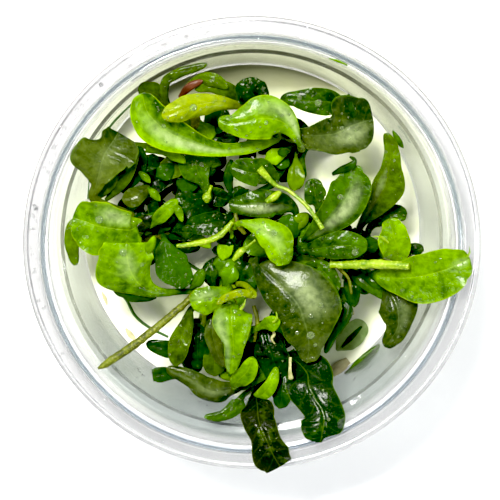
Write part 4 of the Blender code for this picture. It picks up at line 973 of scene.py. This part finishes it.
# The small leaves: leaves half grown, broken or seen end on, each a few millimetres long, that fill the gaps
# between the large ones. Given by rows of their own, because nothing of their stalks shows.
SMALL_LEAVES = {
    "hooked": ("bright", (30, 30), (
        (-0.2, -18.8, 40, 0.5), (1.8, -17.4, 43, 0.8), (4, -16.7, 46, 1.7, 1.6),
        (6.2, -16, 46, 0.3))),
    "blunt": ("dark", (20, 20), (
        (-13, -28, 36, 0.8), (-17, -27.5, 38, 1.3), (-20, -27.6, 38.6, 1.8, 1.6),
        (-21.6, -27.8, 38.6, 1.4, 1.3))),
    "spread": ("dark", (10, 10), (
        (-15.6, -22.4, 36, 1.4), (-18.5, -22, 37.5, 2, 1.8), (-23, -20.9, 37.5, 0.2))),
    "curved": ("bright", (35, 35), (
        (-4, -31, 38, 0.6), (-3.2, -29.2, 41, 1.6, 1.7), (-1, -26.9, 42, 1.7, 2),
        (0.2, -24, 42.5, 0.2))),
    "upright": ("bright", (40, 40), (
        (-0.7, -33.3, 40, 0.5), (2.3, -32, 42.5, 1.4), (4.3, -29.5, 43.5, 1.2, 1.3),
        (5.4, -26, 43, 0.2))),
    "band": ("green", (20, 20), (
        (-5, -31.2, 36.5, 0.7), (-1, -29, 38.5, 1.5), (3, -27.2, 39, 1.3),
        (5.4, -26.2, 38.6, 0.3))),
    "east": ("dark", (20, 20), (
        (22, -5, 34, 0.8), (21.8, -8.5, 36.5, 1.8, 1.9), (22.3, -13, 36.5, 0.2))),
    "east_low": ("green", (20, 20), (
        (24, -5.4, 33, 0.7), (25.4, -7.6, 35, 1.5), (26.8, -10.2, 35, 0.2))),
    "torn": ("grey", (15, 15), (
        (-21, 13.6, 36.5, 0.5), (-24, 11.9, 38.4, 1.7, 1.6), (-26.2, 10.8, 38.8, 2.1, 1.9),
        (-28.2, 10.4, 38.4, 0.5))),
    "rolled": ("bright", (70, 70), (
        (-22.4, 4.2, 37, 0.5), (-20, 6.5, 39.4, 1.3), (-17.3, 9.2, 39.9, 1.1),
        (-16, 10.4, 39.4, 0.3))),
    "twin": ("bright", (60, 60), (
        (-17.8, 9.2, 39, 0.4), (-16.2, 8.2, 40.6, 0.9), (-15.1, 5.6, 40.6, 0.2))),
    "under": ("grey", (-25, -25), (
        (-8.5, -15.5, 42, 0.9), (-8.5, -19, 42.6, 1.9), (-7.2, -23.6, 41.4, 1.2, 1.4),
        (-5.8, -26, 40, 0.2))),
    "brown": ("olive", (20, 20), (
        (-7, -21, 34, 0.9), (-8, -24.6, 37, 2.6), (-8, -28, 36, 0.5))),
    "folded": ("dark", (-30, -30), (
        (-20.6, -9.8, 38.6, 1.6, 1.4), (-24.4, -10, 40.2, 2.3, 2.4), (-28, -8.8, 40.8, 2.2),
        (-30.6, -7.4, 40.6, 0.4))),
    "ear": ("bright", (20, 20), (
        (-23, -1.2, 44, 0.9), (-22, 0.4, 45, 0.9), (-21.2, 2.2, 45.4, 0.2))),
    "nook": ("dark", (10, 10), (
        (7, -27, 39.4, 0.8), (6.6, -30.6, 40.6, 2.3, 2.1), (6.4, -33, 40.8, 2, 1.8), (6, -35, 40.6, 0.4))),
    "ridge": ("olive", (-20, 50), (
        (-31.8, 10.2, 37, 0.5), (-29, 13, 38.8, 1.2, 1.1), (-26.8, 16.4, 39.6, 1.3, 1.2),
        (-24.8, 21, 39.6, 0.4))),
    "crease": ("dark", (30, 30), (
        (-28.4, 12, 36.4, 0.7), (-25.8, 15.4, 37.6, 1.8, 1.7), (-24.6, 19, 38, 1.6, 1.7),
        (-24.8, 22, 38, 0.3))),
    "seam": ("dark", (20, 20), (
        (-4.6, 11.8, 38, 0.5), (-5.2, 15, 38.8, 1, 1.2), (-4.4, 19, 38.8, 0.3))),
    "fold": ("green", (20, 20), (
        (-13.4, -9, 38, 0.4), (-11.8, -7.4, 39, 1.5, 1.3), (-10.6, -4.8, 39, 0.3))),
    "slip": ("dark", (20, 20), (
        (19.4, -11.6, 39, 0.6), (20.6, -14, 40, 1.4, 1.2), (17.4, -19.4, 40.4, 1.1, 0.9),
        (16, -23, 40.4, 0.3))),
    "horn": ("dark", (30, 30), (
        (22.2, 28, 45.4, 0.9), (21.6, 30.6, 46.4, 0.7), (21, 33.3, 46.6, 0.12))),
    "curl": ("dark", (50, 20), (
        (17.4, 15.8, 44.6, 0.4), (19.4, 16.6, 46, 0.9, 0.6), (21.6, 17.6, 46.6, 0.9, 0.7),
        (22.4, 18.9, 46.6, 0.5, 0.4), (21.2, 19.7, 46.4, 0.15))),
    "flake": ("bright", (10, 10), (
        (16.8, 41, 45.4, 0.12), (18.8, 40.4, 45.5, 0.28), (20.8, 39.5, 45.4, 0.1))),
    "pod": ("bright", (70, 70), (
        (-22.7, 13, 38.8, 0.4), (-21.3, 11.6, 39.8, 0.9), (-19.9, 10.1, 39.4, 0.25))),
    "pale": ("bright", (30, 30), (
        (-24.6, 16.4, 39, 0.35), (-23.2, 15.2, 39.6, 0.8), (-22, 14, 39.2, 0.2))),
    "dark_base": ("dark", (-20, -20), (
        (5.4, -27.4, 38, 0.9), (8, -29.6, 40.4, 2.2), (10.4, -31.8, 41.4, 1.2),
        (11.6, -33, 41, 0.3))),
    "corner": ("green", (20, -20), (
        (20.4, -4.6, 35, 0.7), (23.8, -6.8, 37, 1.7), (27.6, -9.6, 37.4, 1.4),
        (30, -11.4, 36.8, 0.2))),
    "northern": ("olive", (-30, 30), (
        (-2.4, 31.4, 38, 0.7), (-5, 34, 41, 1.9, 1.6), (-9, 35, 41.6, 1.4),
        (-12.4, 34.2, 41, 0.2))),
    "rusty": ("rust", (30, 30), (
        (-15.8, 32.4, 41, 0.4), (-13.6, 34.8, 42, 0.9), (-10.6, 36.2, 42, 0.2))),
    "fringe": ("bright", (20, 40), (
        (-23.2, 21.2, 38, 0.7), (-19.4, 20.6, 40.6, 1.1, 0.6), (-16.4, 19.8, 41, 0.9, 1.2),
        (-14.4, 18.4, 40.6, 0.2))),
}
SMALL_LEAF_SHADES = (0.25, 0.3, 0.6, 0.5)
leaf_top(
    "rusty_leaf", (0.0228, 0.00608, 0.00228), (0.122, 0.0456, 0.0228), (0.152, 0.076, 0.038),
    (0.076, 0.0304, 0.0076))
leaf_under("rusty_leaf_under", (0.0608, 0.0228, 0.0152), (0.106, 0.0456, 0.0304))
tops = {tone: bpy.data.materials[name] for tone, name in (
    ("green", "grown_leaf"), ("bright", "young_leaf"), ("lime", "lime_leaf"), ("dark", "shaded_leaf"),
    ("olive", "older_leaf"), ("grey", "silvery_leaf"), ("rust", "rusty_leaf"))}
unders = {tone: bpy.data.materials[top.name + "_under"] for tone, top in tops.items()}


SMALL_LEAF_STEPS = 8
SMALL_LEAF_SIDES = 14
for small_name, (tone, curls, rows) in SMALL_LEAVES.items():
    form = LeafForm(curls, blade_rows(rows), steps=SMALL_LEAF_STEPS)
    small_work = bmesh.new()
    leaf_mesh(small_work, form, sides=SMALL_LEAF_SIDES, shades=SMALL_LEAF_SHADES)
    small = put_in_scene("small_leaf_" + small_name, small_work, [tops[tone], unders[tone]])
    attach(small, "root")

# The stubs: cut stalk ends, the tips of leaves not yet open and a bud that hangs from a leaf, all thin and
# round, standing on what they grew from. Rows of (across, up, height, radius).
STUBS = {
    "bud_hanging": ("young", ((-8.8, 13.4, 39, 0.3), (-9.3, 12, 40, 0.4), (-9.8, 10.9, 40.2, 1.0),
                              (-9.7, 9.8, 40, 0.35))),
    "stub_tan": ("tan", ((8.4, -23.8, 43.8, 0.3), (8.3, -26.6, 44, 0.38), (8.5, -28.4, 43.6, 0.6))),
    "stub_wiggle": ("tan", ((4.2, -17.8, 43.4, 0.2), (4.9, -18.8, 43.6, 0.3), (4.3, -19.8, 43.4, 0.3),
                            (5, -20.9, 43.2, 0.15))),
    "spike_hooked": ("young", ((4.6, -16.2, 46.2, 0.3), (5.4, -15.4, 47, 0.3), (5.3, -14, 47.2, 0.1))),
    "spike_west": ("young", ((-2.4, -13.4, 47.4, 0.35), (-1.7, -12.4, 48, 0.3), (-1.3, -11.2, 48.2, 0.1))),
    "spike_cupped": ("young", ((29.6, 1, 43.8, 0.3), (28.2, 2.2, 44.6, 0.3), (26.4, 2.4, 44.8, 0.1))),
    "spike_large": ("young", ((46.8, -2, 48.2, 0.3), (47.3, -1, 48.4, 0.22), (47.2, 0.2, 48.4, 0.08))),
    "twig_northern": ("old", ((-8, 31.4, 40, 0.3), (-5.4, 31.8, 40.8, 0.32), (-2.6, 30.2, 40.6, 0.3),
                              (-0.8, 28.8, 40, 0.25))),
    "twig_middle": ("old", ((-1.6, 3, 39.8, 0.4), (-3, 5, 40.6, 0.6), (-3.6, 7.4, 40.2, 0.4))),
    "twig_lower": ("old", ((0.4, -12.6, 40, 0.4), (1.2, -16, 40.6, 0.5), (0.6, -20.4, 40.4, 0.3))),
    "twig_east": ("old", ((19, -4.6, 40.5, 0.3), (21, -6.8, 41, 0.35), (21.6, -10, 40.6, 0.25))),
}
tan_rind = rind("tan_rind", (0.12, 0.11, 0.03), (0.27, 0.27, 0.11), (0.36, 0.36, 0.2), 0.6, 0.05)
rinds = {"young": young_rind, "old": old_rind, "tan": tan_rind}
for stub_name, (age, stub_places) in STUBS.items():
    stub_work = bmesh.new()
    stub_rows = [(*seen_at(*place[:3]), place[3]) for place in stub_places]
    loft(stub_work, tube_rings(smooth_rows(stub_rows, 7), 10, lumpy=LUMP_HEIGHT / 2))
    stub = put_in_scene(stub_name, stub_work, [rinds[age]])
    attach(stub, "root")

# The undergrowth: the many short leaves low on the creeping stems, dark and crowded, that close the middle of
# the clump. Each is fused to its stem; the table gives the main ones, and chance adds finer ones between them.
LOW_LEAVES = {
    "stem_northwest": (
        (0.33, 295, 1.8, 7.4, 2.1), (0.39, 200, 1.4, 9.2, 2.2), (0.49, 95, -0.5, 7.7, 1.7),
        (0.59, 265, 1.9, 8.3, 1.5), (0.65, 225, 5.4, 9.8, 2.3), (0.74, 305, 1.2, 7.9, 2.5)),
    "stem_northeast": (
        (0.41, 185, 4.9, 6.1, 1.9), (0.49, 140, 2.9, 7.9, 2.3), (0.54, 235, 6.3, 6.6, 1.8),
        (0.64, 170, -0.9, 6.2, 2.4), (0.73, 265, 0.4, 9.1, 2.1)),
    "stem_west": (
        (0.2, 300, -0.6, 7, 1.6), (0.21, 345, 6.9, 6.6, 1.6), (0.47, 25, -0.7, 9.3, 2.4),
        (0.74, 10, 2.5, 7.4, 2), (0.81, 240, 3.5, 7.3, 1.8)),
    "stem_middle": (
        (0.22, 200, 2.6, 6.9, 2.2), (0.24, 315, 4.4, 7.1, 1.6), (0.26, 100, 4.8, 6.4, 2.1),
        (0.27, 30, 5.1, 9.7, 2.1), (0.27, 90, 2.6, 9.8, 2.4), (0.77, 355, -0.8, 6.5, 2.6)),
    "stem_east": (
        (0.35, 45, 6.2, 6.7, 2.2), (0.42, 155, 5.5, 8.7, 2.5), (0.83, 45, 1.5, 9.4, 2.2),
        (0.94, 0, -0.2, 9.3, 2), (0.94, 115, 2.4, 6.6, 1.8)),
    "stem_lower": (
        (0.19, 255, 6.5, 7.9, 1.5), (0.23, 235, 1.7, 6.9, 1.8), (0.52, 180, -1, 8.5, 2.3),
        (0.65, 65, 1.9, 9.3, 1.7), (0.73, 90, 1.2, 6.4, 2), (0.83, 300, 3.1, 6.2, 1.9)),
    "stem_southwest": (
        (0.23, 305, 4.3, 6.2, 1.5), (0.42, 75, -0.9, 6.2, 2.4), (0.54, 25, -0.8, 7.6, 2),
        (0.86, 85, 1.1, 8.2, 2.3), (0.88, 355, -0.3, 6.4, 2.2)),
    "stem_south": (
        (0.21, 40, 4.8, 8.4, 1.5), (0.44, 70, 1.2, 8.2, 2.6), (0.58, 135, 3.4, 8.6, 2),
        (0.79, 200, 1.3, 6.4, 1.8), (0.91, 45, 2.7, 6.4, 2.3)),
}
LOW_LEAF_SHAPE = ((0, 0, 0), (0.4, 0.6, 0), (0.72, 0.95, 1), (1, 1, 0.45))
FINER_LEAF_SHAPE = ((0, 0, 0), (0.3, 0.55, 0), (0.55, 0.9, 0.8), (0.78, 1, 1), (1, 0.9, 0.12))
LOW_STEPS = 5
LOW_SIDES = 10
FINER_LEAVES = 26
FINER_TOP = 38.5
LEAST_APART = 2.4
TRIES = 300
LOW_TONES = ("dark", "dark", "dark", "dark", "green", "green", "bright", "olive")
CROWDS = (
    (-16, 12, 7), (-7, 14, 7), (1, 11, 7), (-11, 4.5, 6), (-1, 3, 7), (10, 5, 6), (19, 2, 5), (27, -1.5, 4),
    (5, -8, 7), (-5, -7, 5.5), (-9, -18, 5), (2, -23, 6), (9, -20, 4.5), (-10, -24, 4), (-20, 17, 4.5),
    (-22, 7, 4), (8, 13, 4), (-12, 25, 4), (3, 28, 4), (-6, 27, 5), (-21, -1, 4), (22, -7, 4), (6, 20, 3),
    (-24, 13, 4.5), (-21, 19, 4), (-26, 11, 3), (-5, 34.5, 3), (-11, 34.5, 2.5), (0, 20, 4), (7.5, -30, 3),
    (-4, -30, 3), (-12, -27, 3), (13, -24, 3), (29, -9, 3),
)
chance = random.Random(11)
finer_tips = []


def low_rows(shape, stem, share, heading, climb, length, half_width, drift=0):
    """Rows of a short leaf that starts inside a stem, and drifts to its left as it grows."""
    stem_places = stem_rows(stem)
    joint = Vector(smooth_row(stem_places, share * (len(stem_places) - 1))[:3])
    turn_by = math.radians(heading)
    ahead = Vector((math.cos(turn_by), math.sin(turn_by), 0)) * length
    aside = Vector((-ahead.y, ahead.x, 0)) * drift
    rows = []
    for reach, lift, width in shape:
        half = width * half_width or STALK_START
        place = joint + ahead * reach + aside * reach ** 2 + Vector((0, 0, climb * lift))
        rows.append((*place, half, half))
    return rows


def in_crowd(place):
    """Whether a real place shows inside the crowded middle of the clump."""
    sink = RIM_HEIGHT - place.z
    across, up = place.x * (1 - sink / EYE_DISTANCE), place.y + sink * math.sin(EYE_TILT)
    return any(math.hypot(across - x, up - y) < radius for x, y, radius in CROWDS)


def finer_leaf(stem):
    """A chance leaf of a stem, short, low, within the crowd and apart from the ones before it."""
    for tried in range(TRIES):
        rows = low_rows(
            FINER_LEAF_SHAPE, stem, chance.uniform(0.05, 1), chance.uniform(0, 360), chance.uniform(0, 10),
            chance.uniform(5, 12), chance.uniform(1.0, 2.6), chance.uniform(-0.35, 0.35))
        tip = Vector(rows[-1][:3])
        low_enough = GEL_HEIGHT + 1 < tip.z < FINER_TOP
        apart = min(((tip - other).length for other in finer_tips), default=LEAST_APART)
        if low_enough and in_crowd(tip) and apart >= LEAST_APART * (1 - tried / TRIES):
            finer_tips.append(tip)
            return rows
    return None


for stem_name in STEMS:
    stem_work = bmesh.new()
    rows = smooth_rows(stem_rows(stem_name), STEM_STEPS)
    loft(stem_work, tube_rings(rows, STEM_SIDES, lumpy=LUMP_HEIGHT, scars=SCAR_HEIGHT))
    brown = stem_name in BROWN_STEMS
    rind_of_stem = old_rind if brown else young_rind
    finishes = [rind_of_stem] + [side for tone in tops for side in (tops[tone], unders[tone])]
    stem_mesh = bpy.data.meshes.new("stem")
    leaf_rows = [low_rows(LOW_LEAF_SHAPE, stem_name, *low_leaf) for low_leaf in LOW_LEAVES.get(stem_name, ())]
    if leaf_rows:
        leaf_rows += filter(None, [finer_leaf(stem_name) for _ in range(FINER_LEAVES)])
    for rows in leaf_rows:
        low_work = bmesh.new()
        shade = chance.uniform(0.0, 1.15)
        form = LeafForm((chance.uniform(-45, 60), chance.uniform(-45, 60)), rows, steps=LOW_STEPS)
        leaf_mesh(low_work, form, LOW_SIDES, (shade / 2, shade / 2, shade, shade))
        first = 1 + 2 * list(tops).index(chance.choice(LOW_TONES))
        for face in low_work.faces:
            face.material_index += first
        low_work.to_mesh(stem_mesh)
        low_work.free()
        stem_work.from_mesh(stem_mesh)
    stem = put_in_scene(
        stem_name.replace("stem", "rhizome"), stem_work, finishes if leaf_rows else [rind_of_stem])
    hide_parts(stem_name)
    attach(stem, "root")

# The roots and what is sunk in the gel: green roots that wander through it, and leaves set in when it was
# poured, all seen softly through its cloudiness. Rows of (across, up, height, radius).
ROOTS = {
    "root_southwest": ((-29.3, -9.2, 21.2, 0.3), (-27.2, -11.4, 21.3, 0.36), (-25.4, -14.7, 21.3, 0.36),
                       (-22.5, -17.2, 21.3, 0.34), (-18.2, -19.4, 21.2, 0.28)),
    "root_northwest": ((-33.6, 22.4, 33, 0.22), (-30, 27.2, 33, 0.26), (-25.5, 31.7, 33, 0.18)),
    "root_west": ((-35.6, 10.5, 28, 0.16), (-35.2, 16.5, 30, 0.14)),
    "root_south": ((-14, -14, 21, 0.3), (-10, -20, 21, 0.3), (-6, -28, 21, 0.2)),
    "root_stripe": ((-16, -2, 21.1, 0.4), (-13, -4, 21.2, 0.4), (-9.6, -6, 21.1, 0.3)),
}
SUNK_LEAVES = {
    "east": ("sunk", (5, 5), (
        (18.4, -22.4, 21.3, 0.4), (20.4, -20.4, 21.6, 2.6), (22.8, -18, 21.6, 2.6),
        (24.6, -16.2, 21.3, 0.5))),
    "east_vein": ("green", (5, 5), (
        (19.6, -21.8, 21.8, 0.2), (21.6, -19.8, 22, 0.8, 0.5), (24, -17.2, 21.8, 0.1))),
    "far": ("green", (5, 5), (
        (20.4, -27.8, 22.8, 0.4), (23.4, -25.8, 23.2, 1.5), (26, -23.4, 23, 1.3),
        (28.2, -21.4, 22.7, 0.3))),
    "stain": ("tan", (5, 5), (
        (19.6, -12.6, 21.3, 0.3), (20.8, -13.4, 21.5, 0.9, 0.7), (22.2, -14.6, 21.3, 0.2))),
    "brown": ("tan", (5, 5), (
        (16.6, -28.8, 21.5, 0.4), (18.4, -26.8, 21.9, 1.6, 1.3), (21, -24.6, 21.9, 0.9))),
    "smudge": ("tan", (5, 5), (
        (-32.6, -9.6, 21.2, 0.2), (-32, -11.2, 21.35, 0.7, 0.5), (-31.4, -12.8, 21.2, 0.2))),
    "blotch": ("tan", (5, 5), (
        (-27.4, -17.6, 21.2, 0.3), (-26.4, -19, 21.35, 0.8, 0.9), (-25.2, -20.2, 21.2, 0.2))),
    "wall": ("green", (5, 5), (
        (30.6, 25.4, 32, 0.2), (31.7, 23.4, 32.4, 0.7), (32.9, 21.6, 32, 0.2))),
}
tops["sunk"] = leaf_top(
    "sunk_leaf", (0.12, 0.2, 0.05), (0.32, 0.42, 0.17), (0.35, 0.45, 0.2), (0.25, 0.35, 0.1))
unders["sunk"] = leaf_under("sunk_leaf_under", (0.0532, 0.0912, 0.0152), (0.106, 0.152, 0.0456))
tops["tan"] = leaf_top(
    "tan_leaf", (0.26, 0.23, 0.12), (0.5, 0.48, 0.28), (0.5, 0.48, 0.3), (0.4, 0.38, 0.22))
unders["tan"] = leaf_under("tan_leaf_under", (0.152, 0.122, 0.0608), (0.228, 0.198, 0.106))
green_root, root_tree, root_shader = finish_material("green_root")
root_grain = grains(root_tree, place_on(root_tree), 600.0, 2.0)
feed(root_tree, root_shader, {
    "Base Color": ramp(root_tree, root_grain, (0, (0.012, 0.055, 0.004)), (1, (0.05, 0.14, 0.012))),
    "Roughness": 0.5})
ROOT_STEPS = 10
ROOT_SIDES = 10
root_work = bmesh.new()
for root_places in ROOTS.values():
    root_rows = [(*seen_at(*place[:3]), place[3]) for place in root_places]
    loft(root_work, tube_rings(smooth_rows(root_rows, ROOT_STEPS), ROOT_SIDES))
roots = put_in_scene("roots", root_work, [green_root])
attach(roots, "root")
SUNK_LEAF_SIDES = 12
for sunk_name, (tone, curls, rows) in SUNK_LEAVES.items():
    sunk_work = bmesh.new()
    form = LeafForm(curls, blade_rows(rows), steps=SMALL_LEAF_STEPS)
    leaf_mesh(sunk_work, form, sides=SUNK_LEAF_SIDES)
    sunk = put_in_scene("sunk_leaf_" + sunk_name, sunk_work, [tops[tone], unders[tone]])
    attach(sunk, "root")

# The wet: water droplets left by the mist in the cup, round caps that sit on the leaves, a few large ones
# and very many fine ones. Large ones by leaf: place from right to left, share along and radius.
DROPLETS = {
    "leaf_nw_hanging": ((0.3, 0.42, 0.55), (-0.6, 0.36, 0.4)),
    "leaf_ne_oval": ((0.1, 0.6, 0.85), (-0.2, 0.78, 0.55)),
    "leaf_w_broad": ((-0.25, 0.66, 0.9), (0.5, 0.72, 0.4)),
    "leaf_w_folded": ((0.1, 0.86, 0.8), (-0.5, 0.7, 0.45)), "leaf_e_oval": ((-0.5, 0.8, 0.8),),
    "leaf_c_bright": ((0.3, 0.62, 0.7), (-0.3, 0.5, 0.45)),
    "leaf_c_largest": ((0.1, 0.72, 0.95), (0.2, 0.55, 0.6), (-0.3, 0.45, 0.5),
                       (0.5, 0.5, 0.6), (-0.4, 0.66, 0.5), (0.35, 0.8, 0.45)),
    "leaf_e_streaked": ((0.3, 0.55, 0.7),), "leaf_ne_grey": ((0.1, 0.6, 0.5), (-0.2, 0.75, 0.4)),
    "leaf_nw_crescent": ((0.1, 0.62, 0.8),), "leaf_s_pointed": ((0.2, 0.5, 0.5), (-0.3, 0.4, 0.45)),
    "leaf_nw_boat": ((-0.1, 0.75, 0.5),), "leaf_n_large": ((0.2, 0.6, 0.5), (-0.3, 0.5, 0.45)),
    "leaf_s_lobed": ((0.2, 0.6, 0.4),),
}
FINE_DROPS_PER_LEAF = 36
DRIER_LEAVES = ("leaf_s_lobed", "leaf_s_outer", "leaf_s_blue", "leaf_w_lobed")
DROP_HEIGHT = 0.52
DROPS_ON_WALL = 34
WALL_WET = (235, 34)
DROPS_ON_FLANGE = 46
FLANGE_WET = (160, 38)


def water(name, colour, clearness):
    """Clear water, its skin a little uneven. Where it is not fully clear, a little colour is painted in: the
    tone of what it lies on and a pale painted light that makes the droplets show.
    """
    made, tree, shader = finish_material(name)
    feed(tree, shader, {
        "Base Color": (*colour, 1), "Transmission Weight": clearness, "IOR": 1.33,
        "Roughness": span(tree, grains(tree, place_on(tree), 900.0, 2.0), 0.0, 1.0, 0.0, 0.03)})
    return made


def add_drop(work, place, facing, radius, detail):
    """Adds a droplet to a bmesh: a flattened ball, a little sunk into what it sits on."""
    turned_by = facing.to_track_quat("Z", "Y").to_matrix().to_4x4()
    sized = Matrix.Diagonal((radius, radius, radius * DROP_HEIGHT, 1))
    bmesh.ops.create_icosphere(
        work, subdivisions=detail, radius=1, matrix=Matrix.Translation(place) @ turned_by @ sized)


drop_work = bmesh.new()
for leaf_name, drops in DROPLETS.items():
    form = leaf_forms[leaf_name]
    for s, share, radius in drops:
        place, facing = form.place(round(share * (len(form.rows) - 1)), s, True)
        add_drop(drop_work, place, facing, radius, 3)
for leaf_name, form in leaf_forms.items():
    for _ in range(FINE_DROPS_PER_LEAF // (4 if leaf_name in DRIER_LEAVES else 1)):
        i = chance.randrange(len(form.rows) // 4, len(form.rows) - 2)
        place, facing = form.place(i, chance.uniform(-0.9, 0.9), True)
        add_drop(drop_work, place, facing, 0.10 + 0.30 * chance.random() ** 3, 1)
drops_on_leaves = put_in_scene(
    "drops_on_leaves", drop_work, [water("leaf_water", (0.70, 0.86, 0.42), 0.92)], sharp=180)
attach(drops_on_leaves, "root")
drop_work = bmesh.new()
for _ in range(DROPS_ON_WALL):
    height = chance.uniform(GEL_HEIGHT + 3, SHOULDER_HEIGHT - 1)
    turn_by = math.radians(chance.gauss(*WALL_WET))
    inward = Vector((-math.cos(turn_by), -math.sin(turn_by), 0))
    place = inward * -inner_wall(height) + Vector((0, 0, height))
    add_drop(drop_work, place, inward, chance.uniform(0.2, 0.5), 2)
for _ in range(DROPS_ON_FLANGE):
    radius = chance.uniform(RIM_RADIUS + RIM_WIDTH + 0.6, FLANGE_RADIUS - 1.8)
    turn_by = math.radians(chance.gauss(*FLANGE_WET))
    place = Vector((radius * math.cos(turn_by), radius * math.sin(turn_by), flange_top))
    add_drop(drop_work, place, Vector((0, 0, 1)), chance.uniform(0.15, 0.5), 2)
drops_on_cup = put_in_scene("drops_on_cup", drop_work, [water("cup_water", (0.96, 0.97, 0.97), 1.0)], sharp=180)
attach(drops_on_cup, "root")
